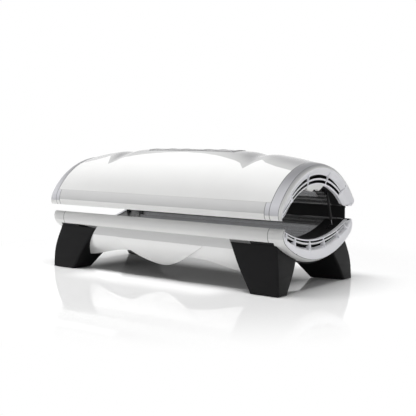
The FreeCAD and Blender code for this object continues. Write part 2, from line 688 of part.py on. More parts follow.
def canopy_dish(place):
    """Deepest line of a canopy ring; it runs into the bars near the outer ribs."""
    return min(CANOPY_DISH + CANOPY_DISH_GROWTH * place * place, CANOPY_BARS[0])


def canopy_face(place):
    """Face of a canopy ring as (x, fraction): dish, bars, inner edge."""
    deepest = canopy_dish(place)
    points = [(CANOPY_RIM_X - (CANOPY_RIM_X - CANOPY_DISH_X) * smooth_step(share),
               CANOPY_RIM + (deepest - CANOPY_RIM) * share) for share in (0.0, 0.18, 0.36, 0.55, 0.75, 1.0)]
    return points + [(CANOPY_DISH_X, 0.5 * (deepest + CANOPY_BARS[1])), (CANOPY_DISH_X, CANOPY_BARS[1]),
                     (0.5 * (CANOPY_DISH_X + CANOPY_EDGE_X), CANOPY_BARS[2]), (CANOPY_EDGE_X, 1.0)]


def bed_face(place):
    """Face of a bed ring as (x, fraction), the same all round: band, recess, bars."""
    band = [(BED_RIM_X - (BED_RIM_X - BED_BAND_X) * share ** 1.5, BED_RIM + (BED_BAND - BED_RIM) * share)
            for share in (0.0, 0.25, 0.5, 0.75, 0.95, 1.0)]
    recess = [(BED_BAND_X - (BED_BAND_X - BED_RECESS_X) * smooth_step(share),
               BED_BAND + (BED_RECESS - BED_BAND) * share) for share in (0.15, 0.4, 0.65, 1.0)]
    middle = 0.5 * (BED_RECESS + BED_BARS[0])
    return band + recess + [(BED_RECESS_X, 0.5 * (BED_RECESS + middle)), (BED_RECESS_X, middle),
                            (BED_BAR_X, BED_BARS[0]), (BED_BAR_X, BED_BARS[1]), (BED_BAR_X, 1.0)]


CANOPY_END = EndShape(canopy_outer, canopy_inner, CANOPY_CORNER_SHARE, (CANOPY_SEAM_X, CANOPY_SEAM),
                      CANOPY_SWEEP, canopy_face)
BED_END = EndShape(bed_outer, bed_inner, BED_CORNER_SHARE, (BED_SEAM_X, BED_SEAM), BED_SWEEP, bed_face)


def level(fraction):
    """Line at one fraction all round an end."""
    return lambda place: fraction


def make_end_frame(end, sections):
    """Right end frame: shoulder band all round, the two rail corners and a seat for the ring."""
    corners = []
    for section, tongue in sections:
        corners.append(run_section(section, RAIL_HALF_LENGTH + SEAT_GAP, SHELL_HALF_LENGTH))
        corners.append(run_section(tongue, SHELL_HALF_LENGTH - RAIL_WALL,
                                   SHELL_HALF_LENGTH + 2.0 * RAIL_WALL))
    seat_x = end.seam_x - RING_WALL * math.sin(end.sweep) - 3.0 * SEAT_GAP
    seat = end.strip((level(end.seam), level(1.6 * end.seam)), end.places, (seat_x - RING_WALL, seat_x))
    return end.skin(end.frame_profile).fuse(corners + [seat])


def rib_plate(end, place, top):
    """Radial rib across the bars of a ring, from its inner edge out to the fraction top."""
    face = [(x, fraction) for x, fraction in end.face(place) if fraction >= top]
    low = [end.point(place, fraction, x - 0.5 * RING_WALL) for x, fraction in face]
    high = [end.point(place, 1.0, face[-1][0] + RING_WALL), end.point(place, face[0][1], face[0][0] + 0.5)]
    along = (low[0] - low[-1]).cross(Vector(1, 0, 0)).normalize() * RIB_THICKNESS
    outline = Part.makePolygon([point - along * 0.5 for point in low + high + low[:1]])
    return Part.Face(outline).extrude(along)


def make_end_ring(end, slots, slot_limit, ribs, rib_top, flange):
    """Right end ring: shaped face, two curved slots crossed by ribs, and an inner flange."""
    places = spread(-slot_limit, slot_limit, 41)
    deep = (0.5 * SHELL_HALF_LENGTH, 2.0 * SHELL_HALF_LENGTH)
    cutters = [end.strip(slot, places, deep) for slot in slots]
    plates = [rib_plate(end, place, rib_top) for place in ribs]
    return end.skin(end.ring_profile).cut(cutters).fuse(plates + [flange])


def ring_flange(centre_z, radius, half_angle, edge_x, side):
    """Lip of a ring under the edge of its clear sheet."""
    return arc_band(centre_z, (radius, radius + RING_WALL), half_angle,
                    (SHEET_HALF_LENGTH - 2.0 * RING_WALL, edge_x - 0.2 * RING_WALL), side)


def make_bed_ring():
    flange = ring_flange(BED_ARC_CENTRE_Z, BED_ARC_RADIUS, BED_INNER_HALF_ANGLE, BED_BAR_X, -1)
    slots = ((level(BED_RECESS + 0.015), level(BED_BARS[0])), (level(BED_BARS[1]), level(BED_BARS[2])))
    return make_end_ring(BED_END, slots, BED_SLOT_LIMIT, BED_RIBS, BED_RIB_TOP, flange)


def make_canopy_ring():
    flange = ring_flange(CANOPY_ARC_CENTRE_Z, CANOPY_ARCH_RADIUS, CANOPY_INNER_CORNER_ANGLE, CANOPY_EDGE_X, 1)
    slots = ((canopy_dish, level(CANOPY_BARS[0])), (level(CANOPY_BARS[1]), level(CANOPY_BARS[2])))
    return make_end_ring(CANOPY_END, slots, CANOPY_SLOT_LIMIT, CANOPY_RIBS, CANOPY_RIM, flange)


# ---------------------------------------------------------------- lamp compartments
class Compartment:
    """Radii of the layers of one lamp compartment, from the clear sheet outwards."""

    def __init__(self, centre_z, arc_radius, side, edge_y, lamp_half_angle, lamp_count):
        self.centre_z = centre_z
        self.side = side
        self.edge_y = edge_y - SEAT_GAP
        self.lamp_angles = spread(-lamp_half_angle, lamp_half_angle, lamp_count)
        self.sheet = arc_radius + RING_WALL + SEAT_GAP
        self.lamps = self.sheet + CLEAR_SHEET + LAMP_TO_SHEET + LAMP_RADIUS
        self.reflector = self.lamps + LAMP_RADIUS + LAMP_TO_REFLECTOR
        self.hoops = self.reflector + REFLECTOR_SHEET + SEAT_GAP
        self.back = self.hoops + HOOP_THICKNESS

    def half_angle(self, radius):
        return math.asin(self.edge_y / radius)

    def band(self, radius, thickness, x_range):
        """Curved layer that reaches from rail to rail."""
        return arc_band(self.centre_z, (radius, radius + thickness), self.half_angle(radius + thickness),
                        x_range, self.side)

    def height(self, radius, y):
        """Height of a layer at a distance y from the centre plane."""
        return self.centre_z + self.side * math.sqrt(radius * radius - y * y)

    def place_at(self, shape, angle_degrees):
        """Turn a shape made over the centre line to its place round the arc."""
        turned = shape.copy()
        turned.rotate(Vector(0, 0, self.centre_z), Vector(1, 0, 0), -self.side * angle_degrees)
        return turned


BED_BOX = Compartment(BED_ARC_CENTRE_Z, BED_ARC_RADIUS, -1, BED_RAIL_INNER_Y,
                      BED_LAMP_HALF_ANGLE, BED_LAMP_COUNT)
CANOPY_BOX = Compartment(CANOPY_ARC_CENTRE_Z, CANOPY_ARCH_RADIUS, 1, CANOPY_RAIL_INNER_Y,
                         CANOPY_LAMP_HALF_ANGLE, CANOPY_LAMP_COUNT)


def make_clear_sheet(compartment):
    """Clear sheet from rail to rail; at the rear it ends above the canopy rail's underside."""
    sheet = compartment.band(compartment.sheet, CLEAR_SHEET, (-SHEET_HALF_LENGTH, SHEET_HALF_LENGTH))
    below_rear_rail = box((-CANOPY_RIM_X, CANOPY_RIM_X), (0.0, CANOPY_RAIL_INNER_Y),
                          (BED_RIM_Z + SEAT_GAP, CANOPY_REAR_LIP_Z + RAIL_WALL))
    return sheet.cut(below_rear_rail)


def make_lamps(compartment):
    """Tubes with their metal end caps."""
    centre = Vector(0, 0, compartment.centre_z + compartment.side * compartment.lamps)
    tube = Part.makeCylinder(LAMP_RADIUS, LAMP_LENGTH - 2.0 * LAMP_CAP_LENGTH,
                             centre - Vector(0.5 * LAMP_LENGTH - LAMP_CAP_LENGTH, 0, 0), Vector(1, 0, 0))
    core = Part.makeCylinder(LAMP_RADIUS - 1.0, LAMP_LENGTH, centre - Vector(0.5 * LAMP_LENGTH, 0, 0),
                             Vector(1, 0, 0))
    bore = Part.makeCylinder(LAMP_RADIUS - LAMP_GLASS, LAMP_LENGTH - 2.0 * LAMP_CAP_LENGTH,
                             centre - Vector(0.5 * LAMP_LENGTH - LAMP_CAP_LENGTH, 0, 0), Vector(1, 0, 0))
    lamp = tube.fuse(core).cut(bore)
    return Part.makeCompound([compartment.place_at(lamp, angle) for angle in compartment.lamp_angles])


def make_lampholders(compartment):
    """Block at each tube end, standing on the reflector."""
    low_radius = compartment.lamps - LAMP_RADIUS + 3.0
    flat_radius = math.sqrt(compartment.reflector ** 2 - HOLDER_HALF_WIDTH ** 2) - SEAT_GAP
    heights = sorted(compartment.centre_z + compartment.side * r for r in (low_radius, flat_radius))
    x_start = 0.5 * LAMP_LENGTH + SEAT_GAP
    block = box((x_start, x_start + HOLDER_THICKNESS), (-HOLDER_HALF_WIDTH, HOLDER_HALF_WIDTH), heights)
    holders = []
    for angle in compartment.lamp_angles:
        turned = compartment.place_at(block, angle)
        holders += [turned, mirror_x(turned)]
    return Part.makeCompound(holders)


def make_reflector(compartment):
    return compartment.band(compartment.reflector, REFLECTOR_SHEET,
                            (-LAMP_FIELD_HALF_LENGTH, LAMP_FIELD_HALF_LENGTH))


def make_hoops(compartment):
    """Arched cross bars that carry the reflector, seated between the rails."""
    return [compartment.band(compartment.hoops, HOOP_THICKNESS, (x - HOOP_HALF_WIDTH, x + HOOP_HALF_WIDTH))
            for x in HOOP_PLACES]


def x_cylinder(radius, centre_z):
    """Cylinder along X, longer than the bed."""
    return Part.makeCylinder(radius, 4.0 * SHELL_HALF_LENGTH, Vector(-2.0 * SHELL_HALF_LENGTH, 0, centre_z),
                             Vector(1, 0, 0))


def bulkheads(compartment, back_radius, back_centre_z):
    """End plates between the clear sheet and the cylinder behind the lamps."""
    sheet_back = x_cylinder(compartment.sheet + CLEAR_SHEET + SEAT_GAP, compartment.centre_z)
    back = x_cylinder(back_radius, back_centre_z)
    far_z = compartment.centre_z + 2.0 * compartment.side * compartment.back
    half_width = compartment.edge_y - 2.0 * RAIL_WALL
    plate = box((BULKHEAD_X, BULKHEAD_X + BULKHEAD_THICKNESS), (-half_width, half_width),
                sorted((compartment.centre_z, far_z)))
    plate = plate.common(back).cut(sheet_back)
    return [plate, mirror_x(plate)]


def pan_inner_z(y):
    """Height of the pan's upper face."""
    radius = BED_UNDER_RADIUS - SHELL_WALL
    return BED_UNDER_CENTRE_Z - math.sqrt(radius * radius - y * y)


def make_bed_frame():
    """Cross bars welded to two rectangular bearers that stand on the pan."""
    inner_y = BED_BEARER_Y - 0.5 * BEARER_WIDTH
    outer_y = BED_BEARER_Y + 0.5 * BEARER_WIDTH
    low_z = pan_inner_z(outer_y) + SEAT_GAP
    high_z = BED_BOX.height(BED_BOX.back, inner_y) + 2.0
    half_length = BULKHEAD_X + BULKHEAD_THICKNESS
    bearer = box((-half_length, half_length), (inner_y, outer_y), (low_z, high_z))
    hollow = box((-half_length, half_length), (inner_y + BEARER_WALL, outer_y - BEARER_WALL),
                 (low_z + BEARER_WALL, high_z - BEARER_WALL))
    bearer = bearer.cut(hollow)
    flange_z = low_z + BEARER_WALL
    trays = [ballast_tray(side * TRAY_X, inner_y + 0.5 * BEARER_WALL, flange_z) for side in (-1, 1)]
    plates = bulkheads(BED_BOX, BED_UNDER_RADIUS - SHELL_WALL - SEAT_GAP, BED_UNDER_CENTRE_Z)
    return bearer.fuse([mirror_y(bearer)] + trays + make_hoops(BED_BOX) + plates).cut(apron_spaces())


def ballast_tray(x, flange_y, flange_z):
    """Folded tray hung between the bearers, just above the pan."""
    half = 0.5 * TRAY_WIDTH
    right = [(half, BED_TRAY_Z), (half, flange_z), (flange_y, flange_z), (flange_y, flange_z + TRAY_SHEET),
             (half - TRAY_SHEET, flange_z + TRAY_SHEET), (half - TRAY_SHEET, BED_TRAY_Z + TRAY_SHEET)]
    left = [(-y, z) for y, z in right[::-1]]
    return extrude_section(right + left, x - 0.5 * TRAY_LENGTH, x + 0.5 * TRAY_LENGTH)


def hoop_feet(x):
    """Feet of one canopy hoop on the tops of both rails."""
    top_z = CANOPY_BOX.height(CANOPY_BOX.back, CANOPY_RAIL_INNER_Y)
    foot = box((x - HOOP_HALF_WIDTH, x + HOOP_HALF_WIDTH), (0.0, CANOPY_RAIL_INNER_Y + HOOP_FOOT),
               (CANOPY_RAIL_TOP_Z + SEAT_GAP, top_z))
    foot = foot.cut(x_cylinder(CANOPY_BOX.hoops, CANOPY_BOX.centre_z))
    return [foot, mirror_y(foot)]


def make_canopy_frame():
    """Cross bars of the canopy standing on the rails, with a flat deck on top and a plate at each end."""
    deck_z = CANOPY_BOX.height(CANOPY_BOX.back, 0.0)
    half_length = BULKHEAD_X + BULKHEAD_THICKNESS
    deck = box((-half_length, half_length), (-0.5 * DECK_WIDTH, 0.5 * DECK_WIDTH),
               (deck_z - 0.5 * TRAY_SHEET, deck_z + 0.5 * TRAY_SHEET))
    openings = [Part.makeCylinder(FAN_RADIUS - FAN_WALL, 100.0, Vector(x, 0, deck_z - 50.0))
                for x in (-FAN_X, FAN_X)]
    feet = [foot for x in HOOP_PLACES for foot in hoop_feet(x)]
    plates = bulkheads(CANOPY_BOX, CANOPY_BULKHEAD_RADIUS, CANOPY_BOX.centre_z)
    return deck.cut(openings).fuse(make_hoops(CANOPY_BOX) + feet + plates)


BED_TRAY_Z = pan_inner_z(0.5 * TRAY_WIDTH) + SEAT_GAP
CANOPY_DECK_Z = CANOPY_BOX.height(CANOPY_BOX.back, 0.0) + 0.5 * TRAY_SHEET


def make_ballasts(seat_z, rows):
    """Ballast blocks on the trays of both ends."""
    length, width, height = BALLAST_SIZE
    block = box((-0.5 * length, 0.5 * length), (-0.5 * width, 0.5 * width), (seat_z, seat_z + height))
    upright_edges = [edge for edge in block.Edges if edge.BoundBox.ZLength > 0.5 * height]
    block = block.makeFillet(5.0, upright_edges)
    places = spread(-0.5 * (rows - 1) * BALLAST_PITCH_Y, 0.5 * (rows - 1) * BALLAST_PITCH_Y, rows)
    return Part.makeCompound([block.translated(Vector(side * TRAY_X, y, 0))
                              for side in (-1, 1) for y in places])


# ---------------------------------------------------------------- cooling fans
BED_FAN_Z = pan_inner_z(FAN_RADIUS + FAN_WALL) + SEAT_GAP
CANOPY_FAN_Z = CANOPY_DECK_Z + SEAT_GAP


def make_fan_housing(base_z):
    """Fan ring with a motor spider across its top and a fixed shaft."""
    ring = Part.makeCylinder(FAN_RADIUS + FAN_WALL, FAN_DEPTH, Vector(0, 0, base_z))
    ring = ring.cut(Part.makeCylinder(FAN_RADIUS, FAN_DEPTH, Vector(0, 0, base_z)))
    top_z = base_z + FAN_DEPTH - FAN_SPIDER_THICKNESS
    hub = Part.makeCylinder(FAN_HUB_RADIUS, FAN_SPIDER_THICKNESS, Vector(0, 0, top_z))
    reach = FAN_RADIUS + 0.5 * FAN_WALL
    arm = box((-reach, reach), (-0.5 * FAN_SPIDER_WIDTH, 0.5 * FAN_SPIDER_WIDTH),
              (top_z, top_z + FAN_SPIDER_THICKNESS))
    cross_arm = arm.copy()
    cross_arm.rotate(Vector(0, 0, 0), Vector(0, 0, 1), 90.0)
    shaft = Part.makeCylinder(FAN_SHAFT_RADIUS, FAN_DEPTH - FAN_SPIDER_THICKNESS, Vector(0, 0, base_z))
    return ring.fuse([hub, arm, cross_arm, shaft])


def fan_guard(base_z):
    """Round grille across the intake side of a fan."""
    base = Vector(0, 0, base_z)
    bars = []
    for radius in spread(0.26 * FAN_RADIUS, 0.78 * FAN_RADIUS, 3):
        ring = Part.makeCylinder(radius, FAN_GUARD, base)
        bars.append(ring.cut(Part.makeCylinder(radius - FAN_GUARD, FAN_GUARD, base)))
    reach = FAN_RADIUS + 0.5 * FAN_WALL
    for angle in (0.0, 60.0, 120.0):
        spoke = box((-reach, reach), (-0.5 * FAN_GUARD, 0.5 * FAN_GUARD), (base_z, base_z + FAN_GUARD))
        spoke.rotate(Vector(0, 0, 0), Vector(0, 0, 1), angle)
        bars.append(spoke)
    return bars


def make_fan_housings(base_z):
    """Both fan housings of one compartment, grilles down."""
    housing = make_fan_housing(base_z).fuse(fan_guard(base_z))
    return Part.makeCompound([housing.translated(Vector(x, 0, 0)) for x in (-FAN_X, FAN_X)])


def make_fan_rotor(base_z, x):
    """Hub with twisted-in flat blades round its bore."""
    hub_z = base_z + 0.5 * (FAN_DEPTH + FAN_GUARD - FAN_SPIDER_THICKNESS - FAN_HUB_DEPTH)
    hub = Part.makeCylinder(FAN_HUB_RADIUS, FAN_HUB_DEPTH, Vector(0, 0, hub_z))
    reach = FAN_RADIUS - FAN_TIP_GAP
    chord = 0.75 * FAN_HUB_DEPTH / math.sin(math.radians(FAN_BLADE_TILT))
    blade = box((FAN_HUB_RADIUS - 4.0, reach), (-0.5 * chord, 0.5 * chord),
                (-0.5 * FAN_BLADE_THICKNESS, 0.5 * FAN_BLADE_THICKNESS))
    blade.rotate(Vector(0, 0, 0), Vector(1, 0, 0), FAN_BLADE_TILT)
    blade.translate(Vector(0, 0, hub_z + 0.5 * FAN_HUB_DEPTH))
    sweep = Part.makeCylinder(reach, 2.0 * FAN_DEPTH, Vector(0, 0, base_z - 0.5 * FAN_DEPTH))
    blade = blade.common(sweep)
    blades = []
    for index in range(FAN_BLADE_COUNT):
        turned = blade.copy()
        turned.rotate(Vector(0, 0, 0), Vector(0, 0, 1), 360.0 * index / FAN_BLADE_COUNT)
        blades.append(turned)
    bore = Part.makeCylinder(FAN_SHAFT_RADIUS + RUNNING_GAP, 2.0 * FAN_DEPTH,
                             Vector(0, 0, base_z - 0.5 * FAN_DEPTH))
    return hub.fuse(blades).cut(bore).translated(Vector(x, 0, 0))


# ---------------------------------------------------------------- canopy shell and vent
def crown_z(x):
    """Top line of the canopy shell without its valleys."""
    share = min(abs(x) / SHELL_HALF_LENGTH, 1.0)
    return CANOPY_END_TOP_Z + (CANOPY_CROWN_Z - CANOPY_END_TOP_Z) * (1.0 - share ** CANOPY_CROWN_POWER)


def valley(x, place):
    """Depth of the valley between dome and shoulder: deep on top, gone on the flanks."""
    across = (abs(x) - VALLEY_X) / VALLEY_WIDTH
    fade = 1.0 - smooth_step((abs(place) - VALLEY_FADE_START) / VALLEY_FADE_LENGTH)
    return VALLEY_DEPTH * math.exp(-across * across) * fade


def shell_point(x, place, inset):
    """Point of the canopy shell, inset millimetres under its outer face."""
    top_z = crown_z(x) - valley(x, place)
    y, z = canopy_outer(place, top_z, inset)
    return Vector(x, y, z)


def shell_rim_place():
    """Place where the shell's lower edge meets the rail."""
    return places_between(canopy_outer, CANOPY_RAIL_TOP_Z + SEAT_GAP, CANOPY_END_TOP_Z, 2)[1]


def make_canopy_shell():
    """Gloss outer shell: centre dome, two valleys, two shoulders."""
    last = shell_rim_place()
    places = spread(-last, last, 27)
    stations = spread(-SHELL_HALF_LENGTH, SHELL_HALF_LENGTH, 51)
    shell = skin_solid([[shell_point(x, place, 0.0) for place in places] for x in stations],
                       [[shell_point(x, place, SHELL_WALL) for place in places] for x in stations])
    opening = box((-VENT_HALF_LENGTH, VENT_HALF_LENGTH), (-VENT_HALF_WIDTH, VENT_HALF_WIDTH),
                  (CANOPY_END_TOP_Z, CANOPY_CROWN_Z + 50.0))
    below_rails = box((-CANOPY_RIM_X, CANOPY_RIM_X), (-2.0 * CANOPY_LIP_Y, 2.0 * CANOPY_LIP_Y),
                      (CANOPY_LIP_Z, CANOPY_RAIL_TOP_Z + SEAT_GAP))
    return shell.cut([opening, below_rails])


def vent_patch(rise, thickness, x_range, half_width):
    """Curved plate that follows the shell's top, raised above it."""
    radius, corner_angle = shell_circle(CANOPY_CROWN_Z)
    half_place = CANOPY_CORNER_SHARE * math.asin(half_width / radius) / corner_angle
    places = spread(-half_place, half_place, 7)
    stations = spread(x_range[0], x_range[1], 7)
    return skin_solid([[shell_point(x, place, -rise) for place in places] for x in stations],
                      [[shell_point(x, place, thickness - rise) for place in places] for x in stations])


def make_top_vent():
    """Exhaust vent: framed slats along the crown, stiffened by low cross bars."""
    inner_x = VENT_HALF_LENGTH - SEAT_GAP
    inner_y = VENT_HALF_WIDTH - SEAT_GAP
    plate = vent_patch(VENT_RISE, VENT_RISE + SHELL_WALL, (-inner_x, inner_x), inner_y)
    slot_count = int(2.0 * (inner_y - VENT_FRAME) / VENT_SLAT_PITCH)
    slot_reach = 0.5 * (slot_count - 1) * VENT_SLAT_PITCH
    slots = []
    for y in spread(-slot_reach, slot_reach, slot_count):
        half = 0.5 * (VENT_SLAT_PITCH - VENT_SLAT_WIDTH)
        slots.append(box((-inner_x + VENT_FRAME, inner_x - VENT_FRAME), (y - half, y + half),
                         (CANOPY_END_TOP_Z, CANOPY_CROWN_Z + 50.0)))
    bars = []
    for x in VENT_BAR_PLACES:
        edge = inner_x - VENT_BAR_HALF_WIDTH
        middle = min(max(x, -edge), edge)
        span = (middle - VENT_BAR_HALF_WIDTH, middle + VENT_BAR_HALF_WIDTH)
        bars.append(vent_patch(VENT_BAR_RISE, VENT_BAR_RISE + SHELL_WALL, span, inner_y - VENT_FRAME))
    return plate.cut(slots).fuse(bars)


# ---------------------------------------------------------------- aprons
def apron_y(z):
    """Distance of the apron's face from the centre plane at a height."""
    if z >= APRON_FOLD_Z:
        share = (z - APRON_FOLD_Z) / (BED_RAIL_BOTTOM_Z - APRON_FOLD_Z)
        return APRON_FOLD_Y - (APRON_FOLD_Y - APRON_TOP_Y) * smooth_step(share)
    share = (APRON_FOLD_Z - z) / APRON_TUCK_HEIGHT
    return APRON_FOLD_Y - APRON_TUCK * share * share


def wing_low_z(x):
    """Lower edge of the apron: low at the legs, arched beside the shield."""
    share = (APRON_HALF_LENGTH - abs(x)) / (APRON_HALF_LENGTH - APRON_ARCH_X)
    return APRON_WING_LOW_Z + (APRON_ARCH_Z - APRON_WING_LOW_Z) * smooth_step(share)


def shield_low_z(x):
    """Lower edge of the shield, a soft point at the centre."""
    share = min(abs(x) / SHIELD_HALF_WIDTH, 1.0)
    return SHIELD_TIP_Z + (APRON_FOLD_Z - SHIELD_TIP_Z) * share ** SHIELD_POWER


def apron_grid(half_length, low_edge, standoff, side, x_count, z_count):
    """Point grid of an apron panel from its top edge down to low_edge(x)."""
    rows = []
    for x in spread(-half_length, half_length, x_count):
        low = low_edge(x)
        top = BED_RAIL_BOTTOM_Z - SEAT_GAP if standoff == 0.0 else APRON_FOLD_Z
        row = []
        for share in spread(0.0, 1.0, z_count):
            z = top + (low - top) * share
            row.append((x, apron_y(z), z, share))
        rows.append(row)
    return [[Vector(x, side * (y + standoff * shield_swell(x, share)), z) for x, y, z, share in row]
            for row in rows]


def shield_swell(x, share):
    """How far the shield stands off the apron, 0 at its top and side ends to 1 low in the middle."""
    return smooth_step(share) * (1.0 - (abs(x) / SHIELD_HALF_WIDTH) ** 4)


def shifted(rows, offset_y):
    return [[point + Vector(0, offset_y, 0) for point in row] for row in rows]


def make_apron(side):
    """Panel between the legs; side -1 is the front one."""
    face = apron_grid(APRON_HALF_LENGTH, wing_low_z, 0.0, side, 25, 11)
    apron = skin_solid(face, shifted(face, -side * SHELL_WALL))
    legs = [leg_clearance(x_sign) for x_sign in (-1, 1)]
    return apron.cut(legs)


def leg_clearance(x_sign):
    """Space of a front and a rear leg with a seat gap round them."""
    block = leg_block(-SEAT_GAP)
    block = block.fuse(mirror_y(block))
    return block if x_sign > 0 else mirror_x(block)


def make_shield():
    """Raised centre shield, seated on the front apron's fold."""
    half_length = SHIELD_HALF_WIDTH - 12.0
    seat = SHELL_WALL + SEAT_GAP
    face = shifted(apron_grid(half_length, shield_low_z, SHIELD_STANDOFF, -1, 21, 9), -seat)
    return skin_solid(face, shifted(face, SHELL_WALL))


# ---------------------------------------------------------------- hinges and rear wall
def hinge_cylinder(radius, x_start, length):
    return Part.makeCylinder(radius, length, Vector(x_start, HINGE_AXIS_Y, HINGE_AXIS_Z), Vector(1, 0, 0))


def hinge_spans():
    """X spans of the knuckle and of the two ears of a hinge centred on X 0."""
    half = 0.5 * HINGE_KNUCKLE
    ear_start = half + SEAT_GAP
    return (-half, half), (-ear_start - HINGE_EAR, -ear_start), (ear_start, ear_start + HINGE_EAR)


def make_hinge_bracket():
    """Fixed half: plate on the rear face of the bed rail with two ears."""
    left_ear, right_ear = hinge_spans()[1:]
    plate_y = (BED_HALF_DEPTH + 2.0 * SEAT_GAP, BED_HALF_DEPTH + 2.0 * SEAT_GAP + HINGE_PLATE)
    low_z = BED_RAIL_BOTTOM_Z + 20.0
    top_z = HINGE_AXIS_Z - HINGE_BARREL_RADIUS - 2.0
    pieces = [box((left_ear[0], right_ear[1]), plate_y, (low_z, top_z))]
    for span in (left_ear, right_ear):
        pieces.append(box(span, plate_y, (top_z - 1.0, HINGE_AXIS_Z)))
        pieces.append(hinge_cylinder(HINGE_BARREL_RADIUS, span[0], HINGE_EAR))
    bore = hinge_cylinder(HINGE_PIN_RADIUS, left_ear[0] - 1.0, right_ear[1] - left_ear[0] + 2.0)
    return pieces[0].fuse(pieces[1:]).cut(bore)


def make_hinge_leaf():
    """Moving half: knuckle with a block that reaches up to the underside of the canopy rail."""
    knuckle = hinge_spans()[0]
    y_range = (HINGE_AXIS_Y - HINGE_BARREL_RADIUS, HINGE_AXIS_Y + HINGE_BARREL_RADIUS)
    block = box(knuckle, y_range, (HINGE_AXIS_Z, CANOPY_REAR_LIP_Z + 2.0 * HINGE_BARREL_RADIUS))
    rail = [canopy_outer(place, CANOPY_END_TOP_Z) for place in spread(CANOPY_CORNER_SHARE, 1.0, 21)]
    rail = [(y, z - 2.0 * SEAT_GAP) for y, z in rail] + [(0.0, rail[-1][1]), (0.0, rail[0][1] + SHELL_WALL)]
    block = block.cut(extrude_section(rail, knuckle[0] - 1.0, knuckle[1] + 1.0))
    leaf = block.fuse(hinge_cylinder(HINGE_BARREL_RADIUS, knuckle[0], HINGE_KNUCKLE))
    return leaf.cut(hinge_cylinder(HINGE_PIN_RADIUS + RUNNING_GAP, knuckle[0] - 1.0, HINGE_KNUCKLE + 2.0))


def make_hinge_pin():
    """Headed pin through ears and knuckle."""
    left_ear, right_ear = hinge_spans()[1:]
    pin = hinge_cylinder(HINGE_PIN_RADIUS, left_ear[0], right_ear[1] - left_ear[0])
    return pin.fuse(hinge_cylinder(HINGE_PIN_HEAD_RADIUS, right_ear[1], HINGE_PIN_HEAD_LENGTH))


def at_hinges(shape):
    return Part.makeCompound([shape.translated(Vector(x, 0, 0)) for x in HINGE_PLACES])


def make_rear_wall():
    """Black panel on the rear rail that closes the gap under the canopy."""
    y_low = BED_RAIL_INNER_Y + REAR_WALL_SETBACK
    return box((-REAR_WALL_HALF_LENGTH, REAR_WALL_HALF_LENGTH), (y_low, y_low + REAR_WALL_THICKNESS),
               (BED_RIM_Z + SEAT_GAP, REAR_WALL_TOP_Z))


def make_rear_seal():
    """Rubber strip under the rear canopy rail, just behind the rear wall."""
    y_low = BED_RAIL_INNER_Y + REAR_WALL_SETBACK + REAR_WALL_THICKNESS + REAR_SEAL_CLEARANCE
    top_z = CANOPY_REAR_LIP_Z - SEAT_GAP
    return box((-REAR_WALL_HALF_LENGTH, REAR_WALL_HALF_LENGTH), (y_low, y_low + REAR_SEAL_THICKNESS),
               (top_z - REAR_SEAL_HEIGHT, top_z))


# ---------------------------------------------------------------- gas springs
STRUT_LOW = Vector(STRUT_X, STRUT_LOW_Y, BED_BOX.height(BED_ARC_RADIUS, STRUT_LOW_Y) + STRUT_STAND_OFF)
STRUT_HIGH = Vector(STRUT_X, STRUT_HIGH_Y,
                    CANOPY_BOX.height(CANOPY_ARCH_RADIUS, STRUT_HIGH_Y) - STRUT_STAND_OFF)
STRUT_LINE = (STRUT_HIGH - STRUT_LOW).normalize()
STRUT_CLOSED = STRUT_LOW.distanceToPoint(STRUT_HIGH)


def strut_stroke():
    """Extra length of a gas spring when the canopy is fully open."""
    angle = math.radians(CANOPY_OPEN_ANGLE)
    y = STRUT_HIGH.y - HINGE_AXIS_Y
    z = STRUT_HIGH.z - HINGE_AXIS_Z
    opened = Vector(STRUT_X, HINGE_AXIS_Y + y * math.cos(angle) + z * math.sin(angle),
                    HINGE_AXIS_Z - y * math.sin(angle) + z * math.cos(angle))
    return STRUT_LOW.distanceToPoint(opened) - STRUT_CLOSED


def strut_eye(centre):
    return Part.makeCylinder(STRUT_EYE_RADIUS, STRUT_EYE_WIDTH, centre - Vector(0.5 * STRUT_EYE_WIDTH, 0, 0),
                             Vector(1, 0, 0))


def make_strut_tube():
    """Pressure tube with its closed upper eye."""
    start = STRUT_LOW + STRUT_LINE * STRUT_TUBE_START
    length = STRUT_CLOSED - STRUT_TUBE_START
    tube = Part.makeCylinder(STRUT_TUBE_RADIUS, length - STRUT_TUBE_END, start, STRUT_LINE)
    neck = Part.makeCylinder(STRUT_ROD_RADIUS, length, start, STRUT_LINE)
    bore = Part.makeCylinder(STRUT_ROD_RADIUS + SEAT_GAP, length - 2.0 * STRUT_TUBE_END, start, STRUT_LINE)
    return tube.fuse([neck, strut_eye(STRUT_HIGH)]).cut(bore)


def make_strut_rod():
    """Rod with its lower eye; it stays in the tube at full stroke."""
    length = STRUT_TUBE_START + strut_stroke() + STRUT_ROD_OVERLAP
    rod = Part.makeCylinder(STRUT_ROD_RADIUS, length, STRUT_LOW, STRUT_LINE)
    bore = Part.makeCylinder(STRUT_STUD_RADIUS + RUNNING_GAP, 4.0 * STRUT_EYE_WIDTH,
                             STRUT_LOW - Vector(2.0 * STRUT_EYE_WIDTH, 0, 0), Vector(1, 0, 0))
    return rod.fuse(strut_eye(STRUT_LOW)).cut(bore)


